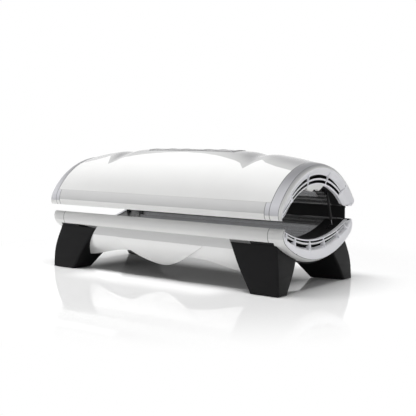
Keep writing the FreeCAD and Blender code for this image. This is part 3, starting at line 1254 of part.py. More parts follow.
def strut_plate(pivot, towards_sheet, stud_length):
    """Upright plate beside a strut eye, on a foot that reaches down to the clear sheet."""
    half = 0.5 * STRUT_PLATE_LENGTH
    x_start = STRUT_X - 0.5 * STRUT_EYE_WIDTH - SEAT_GAP - STRUT_PLATE_THICKNESS
    x_range = (x_start, x_start + STRUT_PLATE_THICKNESS)
    deep = towards_sheet * 2.5 * STRUT_STAND_OFF
    head = towards_sheet * -0.5 * STRUT_STUD_RADIUS - towards_sheet * STRUT_STUD_RADIUS
    plate = box(x_range, (pivot.y - half, pivot.y + half), sorted((pivot.z + head, pivot.z + deep)))
    foot_z = sorted((pivot.z + towards_sheet * 0.75 * STRUT_STAND_OFF, pivot.z + deep))
    foot = box((x_start - half, x_range[1]), (pivot.y - half, pivot.y + half), foot_z)
    stud = Part.makeCylinder(STRUT_STUD_RADIUS, stud_length + 1.0, Vector(x_range[1] - 1.0, pivot.y, pivot.z),
                             Vector(1, 0, 0))
    return plate.fuse([foot, stud])


def inside_sheet(shape, compartment):
    """The part of a shape on the user's side of a clear sheet."""
    radius = compartment.sheet - SEAT_GAP
    return shape.common(x_cylinder(radius, compartment.centre_z))


def both_ends(shape):
    return Part.makeCompound([shape, mirror_x(shape)])


def make_strut_feet():
    """Lower brackets with the studs that the rods turn on."""
    return both_ends(inside_sheet(strut_plate(STRUT_LOW, -1, STRUT_EYE_WIDTH + SEAT_GAP), BED_BOX))


def make_strut_heads():
    """Upper brackets; each stud ends just short of the tube's eye."""
    return both_ends(inside_sheet(strut_plate(STRUT_HIGH, 1, 0.5 * SEAT_GAP), CANOPY_BOX))


# ---------------------------------------------------------------- fittings in the canopy
def arch_block(x_range, y_range, low_z):
    """Block under the canopy's clear sheet whose top follows the arch."""
    block = box(x_range, y_range, (low_z, CANOPY_ARCH_TOP_Z + 50.0))
    return inside_sheet(block, CANOPY_BOX)


def face_tanner_windows():
    """Footprints of the three filter windows."""
    pitch = FACE_TANNER_LENGTH / 3.0
    half = 0.5 * pitch - 7.0
    return [((FACE_TANNER_X + step * pitch - half, FACE_TANNER_X + step * pitch + half),
             (-0.5 * FACE_TANNER_DEPTH + 12.0, 0.5 * FACE_TANNER_DEPTH - 12.0)) for step in (-1, 0, 1)]


FACE_TANNER_Z = CANOPY_ARCH_TOP_Z - FACE_TANNER_HEIGHT


def make_face_tanner():
    """Housing of the facial lamps with three window openings."""
    half = 0.5 * FACE_TANNER_LENGTH
    housing = arch_block((FACE_TANNER_X - half, FACE_TANNER_X + half),
                         (-0.5 * FACE_TANNER_DEPTH, 0.5 * FACE_TANNER_DEPTH), FACE_TANNER_Z)
    pockets = [box(x, y, (FACE_TANNER_Z - 1.0, FACE_TANNER_Z + 8.0)) for x, y in face_tanner_windows()]
    return housing.cut(pockets)


def make_face_tanner_glass():
    """Filter glasses set into the housing."""
    glasses = []
    for x, y in face_tanner_windows():
        glasses.append(box((x[0] + SEAT_GAP, x[1] - SEAT_GAP), (y[0] + SEAT_GAP, y[1] - SEAT_GAP),
                           (FACE_TANNER_Z + 1.5, FACE_TANNER_Z + 5.5)))
    return Part.makeCompound(glasses)


POD_Z = CANOPY_ARCH_TOP_Z - POD_HEIGHT


def button_centre(index):
    return Vector(POD_X, (index - 0.5 * (len(BUTTONS) - 1)) * BUTTON_PITCH, POD_Z)


def make_control_pod():
    """Pod at the head end with a blind bore for each push button."""
    pod = arch_block((POD_X - 0.5 * POD_WIDTH_X, POD_X + 0.5 * POD_WIDTH_X),
                     (-0.5 * POD_LENGTH_Y, 0.5 * POD_LENGTH_Y), POD_Z)
    edges = [edge for edge in pod.Edges if edge.BoundBox.ZMax < POD_Z + 1.0]
    pod = pod.makeFillet(6.0, edges)
    depth = BUTTON_STEM - BUTTON_PROUD + BUTTON_TRAVEL + BUTTON_GAP
    starts = [button_centre(index) - Vector(0, 0, 1.0) for index in range(len(BUTTONS))]
    bores = [Part.makeCylinder(BUTTON_RADIUS + BUTTON_GAP, depth + 1.0, start) for start in starts]
    return pod.cut(bores)


def make_button(index):
    """Domed cap that is pressed upwards."""
    base = button_centre(index) - Vector(0, 0, BUTTON_PROUD)
    cap = Part.makeCylinder(BUTTON_RADIUS, BUTTON_STEM, base)
    lower_edges = [edge for edge in cap.Edges if edge.BoundBox.ZMax < base.z + 0.1]
    return cap.makeFillet(1.5, lower_edges)


def make_air_nozzle():
    """Air outlet under the arch of the right end, with a notch in its lower edge."""
    low = NOZZLE_Y - NOZZLE_HALF_WIDTH
    high = NOZZLE_Y + NOZZLE_HALF_WIDTH
    notch_z = NOZZLE_BOTTOM_Z + NOZZLE_NOTCH_HEIGHT
    outline = [(low, CANOPY_ARCH_TOP_Z), (low, notch_z),
               (NOZZLE_Y - NOZZLE_NOTCH_HALF_WIDTH, NOZZLE_BOTTOM_Z),
               (NOZZLE_Y - 0.55 * NOZZLE_NOTCH_HALF_WIDTH, notch_z),
               (NOZZLE_Y + 0.55 * NOZZLE_NOTCH_HALF_WIDTH, notch_z),
               (NOZZLE_Y + NOZZLE_NOTCH_HALF_WIDTH, NOZZLE_BOTTOM_Z),
               (high, NOZZLE_BOTTOM_Z + NOZZLE_SLANT_HEIGHT), (high, CANOPY_ARCH_TOP_Z)]
    block = extrude_section(outline, NOZZLE_X, NOZZLE_X + NOZZLE_DEPTH_X)
    return block.common(x_cylinder(CANOPY_ARCH_RADIUS - SEAT_GAP, CANOPY_ARC_CENTRE_Z))


def make_mains_gland():
    """Terminal box on the rear apron with a downward cable gland."""
    size_x, size_y, size_z = GLAND_BOX
    y_start = APRON_FOLD_Y + SEAT_GAP
    terminal = box((GLAND_X - 0.5 * size_x, GLAND_X + 0.5 * size_x), (y_start, y_start + size_y),
                   (GLAND_Z - 0.5 * size_z, GLAND_Z + 0.5 * size_z))
    top = Vector(GLAND_X, y_start + 0.5 * size_y, GLAND_Z - 0.5 * size_z + 1.0)
    gland = Part.makeCylinder(GLAND_RADIUS, GLAND_LENGTH + 1.0, top, Vector(0, 0, -1))
    bore = Part.makeCylinder(GLAND_BORE_RADIUS, GLAND_LENGTH + 12.0, top - Vector(0, 0, GLAND_LENGTH + 2.0))
    return terminal.fuse(gland).cut(bore)


# ---------------------------------------------------------------- build
def build():
    """Make and write every node."""
    cradle = make_leg_cradle()
    rail_sections = {"bed": (bed_rail_section(-1), bed_rail_section(1)),
                     "canopy": (canopy_rail_section(-1), canopy_rail_section(1))}
    bed_frame_end = make_end_frame(BED_END, rail_sections["bed"])
    canopy_frame_end = make_end_frame(CANOPY_END, rail_sections["canopy"])
    bed_ring = make_bed_ring()
    canopy_ring = make_canopy_ring()
    tube = make_strut_tube()
    rod = make_strut_rod()
    for end, side in ENDS:
        save("leg_cradle_" + end, at_end(cradle, side))
        save("bed_end_frame_" + end, at_end(bed_frame_end, side))
        save("canopy_end_frame_" + end, at_end(canopy_frame_end, side))
        save("bed_end_ring_" + end, at_end(bed_ring, side))
        save("canopy_end_ring_" + end, at_end(canopy_ring, side))
        save("strut_tube_" + end, at_end(tube, side))
        save("strut_rod_" + end, at_end(rod, side))
        save("bed_fan_rotor_" + end, make_fan_rotor(BED_FAN_Z, side * FAN_X))
        save("canopy_fan_rotor_" + end, make_fan_rotor(CANOPY_FAN_Z, side * FAN_X))
    save("foot_pads", make_foot_pads())
    save("cradle_bolts", make_cradle_bolts())
    save("bed_pan", make_bed_pan())
    for name, sections in rail_sections.items():
        for place, pair in zip(("front", "rear"), sections):
            save(name + "_rail_" + place, run_section(pair[0], -RAIL_HALF_LENGTH, RAIL_HALF_LENGTH))
    save("front_apron", make_apron(-1))
    save("front_shield", make_shield())
    save("rear_apron", make_apron(1))
    for name, compartment in (("bed", BED_BOX), ("canopy", CANOPY_BOX)):
        save(name + "_clear_sheet", make_clear_sheet(compartment))
        save(name + "_lamps", make_lamps(compartment))
        save(name + "_lampholders", make_lampholders(compartment))
        save(name + "_reflector", make_reflector(compartment))
    save("bed_frame", make_bed_frame())
    save("canopy_frame", make_canopy_frame())
    save("bed_ballasts", make_ballasts(BED_TRAY_Z + TRAY_SHEET, 4))
    save("canopy_ballasts", make_ballasts(CANOPY_DECK_Z, 3))
    save("bed_fan_housings", make_fan_housings(BED_FAN_Z))
    save("canopy_fan_housings", make_fan_housings(CANOPY_FAN_Z))
    save("canopy_shell", make_canopy_shell())
    save("top_vent", make_top_vent())
    save("hinge_brackets", at_hinges(make_hinge_bracket()))
    save("hinge_leaves", at_hinges(make_hinge_leaf()))
    save("hinge_pins", at_hinges(make_hinge_pin()))
    save("rear_wall", make_rear_wall())
    save("rear_seal", make_rear_seal())
    save("strut_feet", make_strut_feet())
    save("strut_heads", make_strut_heads())
    save("face_tanner", make_face_tanner())
    save("face_tanner_glass", make_face_tanner_glass())
    save("control_pod", make_control_pod())
    for index, name in enumerate(BUTTONS):
        save("button_" + name, make_button(index))
    save("air_nozzle", make_air_nozzle())
    save("mains_gland", make_mains_gland())


os.makedirs(PARTS_FOLDER, exist_ok=True)
build()
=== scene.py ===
"""Clamshell tanning bed: finishes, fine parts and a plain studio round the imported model.

Metres, X along the bed, front at -Y, Z up, origin on the floor under the centre.
"""
import json
import math

import bmesh
import bpy
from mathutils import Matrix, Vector
from mathutils.bvhtree import BVHTree

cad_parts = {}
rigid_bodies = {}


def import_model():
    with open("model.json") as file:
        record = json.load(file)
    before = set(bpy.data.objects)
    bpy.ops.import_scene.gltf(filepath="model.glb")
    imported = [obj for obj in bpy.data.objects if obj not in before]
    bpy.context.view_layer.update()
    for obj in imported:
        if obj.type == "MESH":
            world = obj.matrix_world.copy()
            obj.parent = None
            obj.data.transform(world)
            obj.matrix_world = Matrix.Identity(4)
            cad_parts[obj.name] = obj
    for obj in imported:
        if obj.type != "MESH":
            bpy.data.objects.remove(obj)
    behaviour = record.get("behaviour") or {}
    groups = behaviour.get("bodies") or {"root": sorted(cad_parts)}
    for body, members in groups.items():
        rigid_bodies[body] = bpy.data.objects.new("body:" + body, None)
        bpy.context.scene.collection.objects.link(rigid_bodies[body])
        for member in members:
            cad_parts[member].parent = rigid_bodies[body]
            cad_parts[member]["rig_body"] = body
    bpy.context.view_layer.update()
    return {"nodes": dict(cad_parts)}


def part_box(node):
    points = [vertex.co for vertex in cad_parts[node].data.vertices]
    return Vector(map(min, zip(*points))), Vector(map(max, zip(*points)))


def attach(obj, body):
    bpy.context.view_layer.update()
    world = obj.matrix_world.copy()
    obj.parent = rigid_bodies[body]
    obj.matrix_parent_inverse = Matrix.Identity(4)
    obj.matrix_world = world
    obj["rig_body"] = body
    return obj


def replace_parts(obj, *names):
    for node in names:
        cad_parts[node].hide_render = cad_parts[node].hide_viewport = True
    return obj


bl_info = {
    "name": "Clamshell Tanning Bed",
    "version": (1, 0, 0),
    "blender": (4, 5, 0),
    "location": "View3D > Sidebar > Tanning Bed",
    "description": "Dresses the packed tanning bed with finishes, fine parts and a studio",
    "category": "Object",
}

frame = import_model()
NODES = frame["nodes"]

ENDS = (("left", -1.0), ("right", 1.0))

# Distances from the middle, along X, at which two panels meet.
SHELL_END = 1.0345
RAIL_END = 0.9962
CANOPY_FRAME_JOINTS = (RAIL_END, 1.0356, 1.1025)
BED_FRAME_JOINTS = (RAIL_END, 1.1155)

# Outline of the painted shade on the canopy's crown, a painted dark reflection on its top, as (distance along
# X, distance along Y), and how its edge and depth fade.
CROWN_SHADE_OUTLINE = ((0.0, 0.130), (0.19, 0.150), (0.34, 0.181), (0.50, 0.225), (0.60, 0.244), (0.662, 0.300),
              (0.70, 0.243), (0.745, 0.180), (0.80, 0.216), (0.90, 0.238), (1.10, 0.245))
CROWN_REACH = 1.2
CROWN_SHADE_BLUR = (-0.003, 0.004)
CROWN_SHADE_DEPTH = (0.0, 0.15)

# Heights between which a colour changes. Over SHELL_SHADE_Z and PANEL_SHADE_Z the colour darkens into painted
# shade towards the bottom; over PANEL_FOLD_Z a painted highlight below meets a painted shadow of the rail
# above.
SHELL_SHADE_Z = (0.64, 0.92)
SHELL_RIM_Z = (0.6300, 0.6322)
PANEL_SHADE_Z = (0.15, 0.262)
PANEL_FOLD_Z = (0.2845, 0.289)
PANEL_TOP_Z = (0.29, 0.36)
CANOPY_RAIL_LIP_Z = (0.5548, 0.5572)
BED_RAIL_LIP_Z = (0.365, 0.405)
CANOPY_FRAME_LIP_Z = (0.541, 0.549)
BED_FRAME_LIP_Z = (0.381, 0.389)

# Height of the axis that each end ring and each clear sheet is bent round.
RING_AXIS_Z = {"bed": 1.30, "canopy": 0.30}
SHEET_AXIS_Z = {"bed": 1.315, "canopy": 0.224}

# Painted highlights of the lamps behind a sheet: pale stripes in a full turn round its axis.
SHEET_LAMP_HIGHLIGHTS = {"bed": 130.0, "canopy": 68.0}

# Films of print just inside the sheets: radii about the sheet's axis, and degrees from its middle.
PRINT_RADII = {"bed": (0.9759, 0.9762), "canopy": (0.5059, 0.5062)}
PRINT_ANGLES = {"bed": (-26.6, 26.6), "canopy": (-53.9, 49.2)}

# Dark strips of painted shade that stand for slots on the canopy's rings, and screws on both rings, as (y, z)
# places seen from the end.
FOOT_SLOTS = (
    ((-0.336, 0.640), (-0.364, 0.615), (-0.393, 0.590), (-0.423, 0.570), (-0.447, 0.557)),
    ((-0.327, 0.617), (-0.349, 0.596), (-0.374, 0.575), (-0.404, 0.552), (-0.427, 0.540)),
)
CANOPY_RING_SCREWS = ((-0.355, 0.70), (0.355, 0.70))
BED_RING_SCREWS = ((-0.30, 0.272), (0.30, 0.272))
APRON_SCREW_X = [-0.7 + 0.2 * index for index in range(8)]
APRON_SCREW_Z = 0.262

# Height of the bed's middle, and a distance from it that is outside the bed on every side.
MIDDLE_Z = 0.45
FAR_OUT = 1.5

# Where the legs swell: between foot and top, and from none to full along X and Y. Shorter edges stay sharp.
LEG_SWELL_Z = (0.012, 0.315)
LEG_SWELL_X = (0.93, 1.05)
LEG_SWELL_Y = (0.34, 0.42)
LEG_EDGE_SHORTEST = 0.06

# Softboxes: name, place, target, size and power in watts.
LIGHTS = (
    ("top_softbox", (0.0, -1.6, 8.0), (0.0, 0.0, 0.0), (6.0, 2.6), 560.0),
    ("front_card", (-3.4, -5.0, 1.0), (0.0, 0.0, 0.5), (3.5, 1.4), 76.0),
    ("right_card", (9.0, -2.0, 1.1), (0.0, 0.0, 0.6), (4.0, 2.0), 112.0),
    ("left_card", (-9.0, 0.0, 1.1), (0.0, 0.0, 0.6), (4.0, 2.0), 60.0),
    ("rear_card", (0.0, 9.0, 1.1), (0.0, 0.0, 0.6), (8.0, 2.0), 130.0),
)

# Floor: distances from the middle over which the shade under the bed and the pool of light before it
# end, over which the floor turns plain white, how much of a mirror it is, and its greys.
SHADE_FRONT = (0.36, 0.46)
SHADE_REAR = (0.08, 0.40)
SHADE_ENDS = (0.75, 1.05)
POOL_START = (0.40, 0.46)
POOL_FRONT = (0.60, 0.85)
POOL_ENDS = (0.55, 0.80)
FLOOR_WHITE_FROM = (1.25, 2.5)
FLOOR_MIRROR = (0.04, 0.38)
FLOOR_SHADED, FLOOR_OPEN, FLOOR_POOL = (0.66,) * 3, (1.12,) * 3, (1.42,) * 3
FLOOR_REACH = 60.0

# The world's even light grows with the height that a ray looks to.
SKY_RISE = (0.05, 0.7)
SKY_STRENGTH = (0.02, 0.30)

# Camera: degrees round from the front and up, distance and the point it looks at.
CAMERA_AZIMUTH, CAMERA_ELEVATION, CAMERA_DISTANCE = 38.27, 5.20, 6.6186
CAMERA_TARGET = (0.1251, -0.0100, 0.5091)
CAMERA_LENS = 74.38


# ---------------------------------------------------------------- settings
class TanningBedFinish(bpy.types.PropertyGroup):
    """Colours and gloss of the bed."""

    shell_white: bpy.props.FloatVectorProperty(
        name="Shell white", description="Gloss colour of the canopy flanks, aprons and shield",
        default=(0.82, 0.82, 0.815), size=3, min=0.0, max=1.0, subtype="COLOR")
    # Painted highlight on the aprons and shield just below the fold.
    panel_highlight_white: bpy.props.FloatVectorProperty(
        name="Panel white", description="Colour of aprons and shield just below the fold",
        default=(0.97, 0.97, 0.965), size=3, min=0.0, max=1.0, subtype="COLOR")
    # Painted shadow of the rail on the aprons and shield above the fold.
    panel_shadow_grey: bpy.props.FloatVectorProperty(
        name="Panel grey", description="Colour of aprons and shield just above the fold",
        default=(0.66, 0.66, 0.66), size=3, min=0.0, max=1.0, subtype="COLOR")
    # Painted shade: the flanks darken towards this colour near the rails, and the aprons and shield low down.
    shell_low_shade: bpy.props.FloatVectorProperty(
        name="Shell low", description="Colour of the flanks just above the rails",
        default=(0.65, 0.65, 0.645), size=3, min=0.0, max=1.0, subtype="COLOR")
    # The two crown colours are painted shade: a dark reflection painted on the canopy's top.
    crown_shade_edge: bpy.props.FloatVectorProperty(
        name="Crown edge", description="Colour of the crown where it meets the flanks",
        default=(0.46, 0.46, 0.46), size=3, min=0.0, max=1.0, subtype="COLOR")
    crown_shade_grey: bpy.props.FloatVectorProperty(
        name="Crown grey", description="Colour of the canopy's crown",
        default=(0.235, 0.235, 0.24), size=3, min=0.0, max=1.0, subtype="COLOR")
    rail_grey: bpy.props.FloatVectorProperty(
        name="Rail grey", description="Colour of the upper band of the rails",
        default=(0.55, 0.55, 0.55), size=3, min=0.0, max=1.0, subtype="COLOR")
    bed_rail_grey: bpy.props.FloatVectorProperty(
        name="Bed rail grey", description="Colour of the upper part of the bed's rails",
        default=(0.74, 0.74, 0.735), size=3, min=0.0, max=1.0, subtype="COLOR")
    lip_white: bpy.props.FloatVectorProperty(
        name="Lip white", description="Colour of the lower lip of the rails",
        default=(0.88, 0.88, 0.87), size=3, min=0.0, max=1.0, subtype="COLOR")
    frame_grey: bpy.props.FloatVectorProperty(
        name="End frame grey", description="Colour of the end frames low down",
        default=(0.56, 0.56, 0.59), size=3, min=0.0, max=1.0, subtype="COLOR")
    # Painted shade on the faces of the end frames and end rings that look up.
    frame_top_shade: bpy.props.FloatVectorProperty(
        name="End frame top", description="Colour of the end frames where they face up",
        default=(0.15, 0.15, 0.16), size=3, min=0.0, max=1.0, subtype="COLOR")
    ring_pale: bpy.props.FloatVectorProperty(
        name="End ring pale", description="Colour of the faces of the end rings",
        default=(0.92, 0.92, 0.955), size=3, min=0.0, max=1.0, subtype="COLOR")
    leg_black: bpy.props.FloatVectorProperty(
        name="Leg black", description="Satin colour of the legs",
        default=(0.006, 0.006, 0.0065), size=3, min=0.0, max=1.0, subtype="COLOR")
    shell_roughness: bpy.props.FloatProperty(
        name="Shell roughness", description="Roughness of the gloss shells", default=0.12,
        min=0.0, max=1.0, subtype="FACTOR")


class TanningBedSizes(bpy.types.PropertyGroup):
    """Sizes of the fine parts."""

    seam_width: bpy.props.FloatProperty(
        name="Seam width", description="Width of the shadow line at a panel joint",
        default=0.0035, min=0.0, unit="LENGTH")
    bed_print_start: bpy.props.FloatProperty(
        name="Bed print start", description="Distance from the centre to the black print on the bed's sheet",
        default=0.901, min=0.0, unit="LENGTH")
    canopy_print_start: bpy.props.FloatProperty(
        name="Canopy print start", description="Distance from the centre to the print on the canopy's sheet",
        default=0.985, min=0.0, unit="LENGTH")
    print_end: bpy.props.FloatProperty(
        name="Print end", description="Distance from the centre to the end of both prints",
        default=1.0575, min=0.0, unit="LENGTH")
    # The foot slots are dark strips of painted shade on the ring's face.
    foot_slot_width: bpy.props.FloatProperty(
        name="Foot slot width", description="Width of the slots down the front foot of the canopy's rings",
        default=0.006, min=0.0, unit="LENGTH")
    screw_diameter: bpy.props.FloatProperty(
        name="Screw diameter", description="Head diameter of the cover screws",
        default=0.009, min=0.0, unit="LENGTH")
    leg_rounding: bpy.props.FloatProperty(
        name="Leg rounding", description="Radius of the long edges of the legs",
        default=0.007, min=0.0, unit="LENGTH")
    leg_swell: bpy.props.FloatProperty(
        name="Leg swell", description="How far the outer sides of the legs swell at half height",
        default=0.012, min=0.0, unit="LENGTH")


# ---------------------------------------------------------------- materials
class Shader:
    """Node tree of one material, with short ways to add masks and finishes."""

    def __init__(self, name):
        self.material = bpy.data.materials.new(name)
        self.material.use_nodes = True
        self.tree = self.material.node_tree
        self.surface = self.tree.nodes["Principled BSDF"]
        self.coordinates = self.add("ShaderNodeTexCoord")

    def add(self, kind, **settings):
        """A new node with its settings."""
        node = self.tree.nodes.new(kind)
        for key, value in settings.items():
            setattr(node, key, value)
        return node

    def link(self, source, target):
        """Join an output to an input."""
        self.tree.links.new(source, target)

    def feed(self, socket, value):
        """Link a socket or set a plain value."""
        if isinstance(value, bpy.types.NodeSocket):
            self.link(value, socket)
        elif isinstance(value, (tuple, list)) and len(value) == 3 and len(socket.default_value) == 4:
            socket.default_value = (*value, 1.0)
        else:
            socket.default_value = value

    def maths(self, operation, first, second=0.0):
        node = self.add("ShaderNodeMath", operation=operation)
        self.feed(node.inputs[0], first)
        self.feed(node.inputs[1], second)
        return node.outputs[0]

    def vector(self, operation, first, second=None, result="Vector"):
        node = self.add("ShaderNodeVectorMath", operation=operation)
        self.link(first, node.inputs[0])
        if second is not None:
            self.feed(node.inputs[1], second)
        return node.outputs[result]

    def axis(self, letter, source="Object"):
        """One coordinate of the place or, with source Normal, of the direction a face looks in."""
        node = self.add("ShaderNodeSeparateXYZ")
        self.link(self.coordinates.outputs[source], node.inputs[0])
        return node.outputs["XYZ".index(letter)]

    def step(self, value, low, high):
        """0 below low, 1 above high, smooth between."""
        node = self.add("ShaderNodeMapRange", interpolation_type="SMOOTHSTEP")
        self.feed(node.inputs["Value"], value)
        node.inputs["From Min"].default_value = low
        node.inputs["From Max"].default_value = high
        return node.outputs["Result"]

    def curve(self, value, points, reach):
        """Broken line through points with all values from 0 to reach."""
        node = self.add("ShaderNodeFloatCurve")
        line = node.mapping.curves[0]
        while len(line.points) < len(points):
            line.points.new(0.5, 0.5)
        for point, place in zip(line.points, points):
            point.location = (place[0] / reach, place[1] / reach)
            point.handle_type = "VECTOR"
        node.mapping.update()
        self.feed(node.inputs["Value"], self.maths("DIVIDE", value, reach))
        return self.maths("MULTIPLY", node.outputs[0], reach)

    def scaled(self, value, low, high):
        """Value from 0 to 1 brought to low to high."""
        node = self.add("ShaderNodeMapRange")
        self.feed(node.inputs["Value"], value)
        node.inputs["To Min"].default_value = low
        node.inputs["To Max"].default_value = high
        return node.outputs["Result"]

    def noise(self, scale, detail=3.0, stretch=(1.0, 1.0, 1.0)):
        mapping = self.add("ShaderNodeMapping")
        self.link(self.coordinates.outputs["Object"], mapping.inputs["Vector"])
        mapping.inputs["Scale"].default_value = stretch
        node = self.add("ShaderNodeTexNoise")
        self.link(mapping.outputs["Vector"], node.inputs["Vector"])
        node.inputs["Scale"].default_value = scale
        node.inputs["Detail"].default_value = detail
        return node.outputs["Fac"]

    def blend(self, mask, first, second):
        """Colour first where the mask is 0, second where it is 1."""
        node = self.add("ShaderNodeMix", data_type="RGBA")
        self.feed(node.inputs["Factor"], mask)
        self.feed(node.inputs["A"], first)
        self.feed(node.inputs["B"], second)
        return node.outputs["Result"]

    def mottled(self, colour, scale=6.0, amount=0.02):
        """Colour with a barely visible cloud in it."""
        dark = tuple(channel * (1.0 - amount) for channel in colour)
        light = tuple(min(channel * (1.0 + amount), 1.0) for channel in colour)
        return self.blend(self.noise(scale), dark, light)

    def bump(self, height, distance):
        """Fine relief of the surface."""
        node = self.add("ShaderNodeBump")
        node.inputs["Distance"].default_value = distance
        node.inputs["Strength"].default_value = 1.0
        self.link(height, node.inputs["Height"])
        self.link(node.outputs["Normal"], self.surface.inputs["Normal"])

    def satin(self, colour):
        """Finish of moulded rails, frames and rings."""
        self.bump(self.noise(1500.0, 2.0), 0.00002)
        return self.done(colour, self.scaled(self.noise(8.0), 0.26, 0.34))

    def gloss(self, colour, roughness, spread, coat, specular=0.5):
        """Finish of the lacquered shells and panels."""
        self.bump(self.noise(900.0, 2.0), 0.00002)
        rough = self.scaled(self.noise(4.0), roughness, roughness + spread)
        return self.done(colour, rough, coat=coat, specular=specular)

    def done(self, colour, roughness, metallic=0.0, coat=0.0, specular=0.5, alpha=1.0):
        """Set the finish; numbers go straight into the sockets."""
        inputs = self.surface.inputs
        self.feed(inputs["Base Color"], colour)
        self.feed(inputs["Roughness"], roughness)
        inputs["Metallic"].default_value = metallic
        inputs["Coat Weight"].default_value = coat
        inputs["Coat Roughness"].default_value = 0.04
        inputs["Specular IOR Level"].default_value = specular
        self.feed(inputs["Alpha"], alpha)
        return self.material


def seam(shader, colour, joints, width):
    """Thin shade at the distances along X where two panels meet."""
    place = shader.maths("ABSOLUTE", shader.axis("X"))
    for joint in joints:
        off = shader.maths("ABSOLUTE", shader.maths("SUBTRACT", place, joint))
        line = shader.maths("SUBTRACT", 1.0, shader.step(off, 0.4 * width, width))
        shade = shader.blend(0.3, (0.0, 0.0, 0.0), colour)
        colour = shader.blend(line, colour, shade)
    return colour


def gloss_shell(name, finish, width):
    """White gloss with painted shade on the crown and low on the flanks, shaded where the shell meets its
    frame and rails.
    """
    shader = Shader(name)
    edge = shader.curve(shader.maths("ABSOLUTE", shader.axis("X")), CROWN_SHADE_OUTLINE, CROWN_REACH)
    inside = shader.maths("SUBTRACT", edge, shader.maths("ABSOLUTE", shader.axis("Y")))
    # Painted shade: the flanks darken towards the rails.
    white = shader.blend(shader.step(shader.axis("Z"), *SHELL_SHADE_Z), shader.mottled(finish.shell_low_shade),
                         shader.mottled(finish.shell_white))
    # Painted shade on the crown, darker further in from its edge.
    grey = shader.blend(shader.step(inside, *CROWN_SHADE_DEPTH), shader.mottled(finish.crown_shade_edge),
                        shader.mottled(finish.crown_shade_grey))
    colour = shader.blend(shader.step(inside, *CROWN_SHADE_BLUR), white, grey)
    colour = seam(shader, colour, (SHELL_END,), width)
    rim = shader.maths("SUBTRACT", 1.0, shader.step(shader.axis("Z"), *SHELL_RIM_Z))
    colour = shader.blend(shader.maths("MULTIPLY", rim, 0.5), colour, (0.25, 0.25, 0.25))
    return shader.gloss(colour, finish.shell_roughness, 0.05, 0.3)


def white_panel(name, finish):
    """White gloss of aprons and shield: a painted highlight just below the fold, painted shade lower down,
    and above the fold a painted shadow of the rail that darkens up to it.
    """
    shader = Shader(name)
    # Painted shade low on the panels, rising into a painted highlight below the fold.
    white = shader.blend(shader.step(shader.axis("Z"), *PANEL_SHADE_Z), shader.mottled(finish.shell_low_shade),
                         shader.mottled(finish.panel_highlight_white))
    # Painted shadow of the rail: darker up to the rail.
    grey = shader.blend(shader.step(shader.axis("Z"), *PANEL_TOP_Z), shader.mottled(finish.panel_shadow_grey),
                        shader.mottled(finish.rail_grey))
    colour = shader.blend(shader.step(shader.axis("Z"), *PANEL_FOLD_Z), white, grey)
    return shader.gloss(colour, finish.shell_roughness, 0.06, 1.0, 1.0)


def rail_plastic(name, finish, grey, lip_z, width):
    """Satin rail: grey band above, paler lip below."""
    shader = Shader(name)
    band = shader.step(shader.axis("Z"), *lip_z)
    colour = shader.blend(band, shader.mottled(finish.lip_white), shader.mottled(grey))
    return shader.satin(seam(shader, colour, (RAIL_END,), width))


def frame_plastic(name, finish, greys, lip_z, joints, width):
    """End frame: grey above the lip, changing to the second grey, painted shade, where it faces up, white
    below.
    """
    shader = Shader(name)
    band = shader.step(shader.axis("Z"), *lip_z)
    grey = shader.blend(shader.step(shader.axis("Z", "Normal"), 0.45, 1.0), shader.mottled(greys[0]),
                        shader.mottled(greys[1]))
    colour = shader.blend(band, shader.mottled(finish.lip_white), grey)
    return shader.satin(seam(shader, colour, joints, width))


def ring_plastic(name, finish, axis_z):
    """End ring: pale face inside a greyer outer band, which faces away from the ring's axis and darkens into
    painted shade where it faces up.
    """
    shader = Shader(name)
    away = shader.vector("SUBTRACT", shader.coordinates.outputs["Object"], (0.0, 0.0, axis_z))
    outward = shader.vector("NORMALIZE", shader.vector("MULTIPLY", away, (0.0, 1.0, 1.0)))
    facing = shader.vector("DOT_PRODUCT", outward, shader.coordinates.outputs["Normal"], "Value")
    band = shader.step(facing, 0.15, 0.35)
    # Painted shade where the band faces up.
    grey = shader.blend(shader.step(shader.axis("Z", "Normal"), 0.2, 0.8),
                        shader.mottled(finish.bed_rail_grey), shader.mottled(finish.frame_top_shade))
    return shader.satin(shader.blend(band, shader.mottled(finish.ring_pale), grey))


def plain(name, colour, roughness, grain=1500.0, depth=0.00003, metallic=0.0, specular=0.5,
          spread=0.06, stretch=(1.0, 1.0, 1.0), glow=0.0):
    """One moulded, painted or metal finish with a fine grain; glow, where given, is a painted glow."""
    shader = Shader(name)
    shader.surface.inputs["Emission Color"].default_value = (1.0, 1.0, 1.0, 1.0)
    shader.surface.inputs["Emission Strength"].default_value = glow
    shader.bump(shader.noise(grain, 2.0, stretch), depth)
    rough = shader.scaled(shader.noise(12.0, 3.0, stretch), roughness, roughness + spread)
    return shader.done(shader.mottled(colour, 9.0, 0.04), rough, metallic, specular=specular)


def acrylic(name, tint, alpha, part=None):
    """Clear tinted sheet with light surface haze and, on the sheet of a part, painted highlights of the lamps
    behind it as pale stripes along it.
    """
    shader = Shader(name)
    haze = shader.scaled(shader.noise(3.0), alpha - 0.02, alpha + 0.02)
    shader.material.surface_render_method = "BLENDED"
    colour = shader.mottled(tint, 5.0)
    if part is not None:
        # Painted highlights: pale stripes where the lamps lie behind the sheet.
        rise = shader.maths("SUBTRACT", shader.axis("Z"), SHEET_AXIS_Z[part])
        angle = shader.maths("ARCTAN2", shader.axis("Y"), rise)
        wave = shader.maths("SINE", shader.maths("MULTIPLY", angle, SHEET_LAMP_HIGHLIGHTS[part]))
        colour = shader.blend(shader.step(wave, 0.1, 0.9), colour, (0.60, 0.60, 0.60))
    return shader.done(colour, shader.scaled(shader.noise(40.0), 0.04, 0.08), alpha=haze)


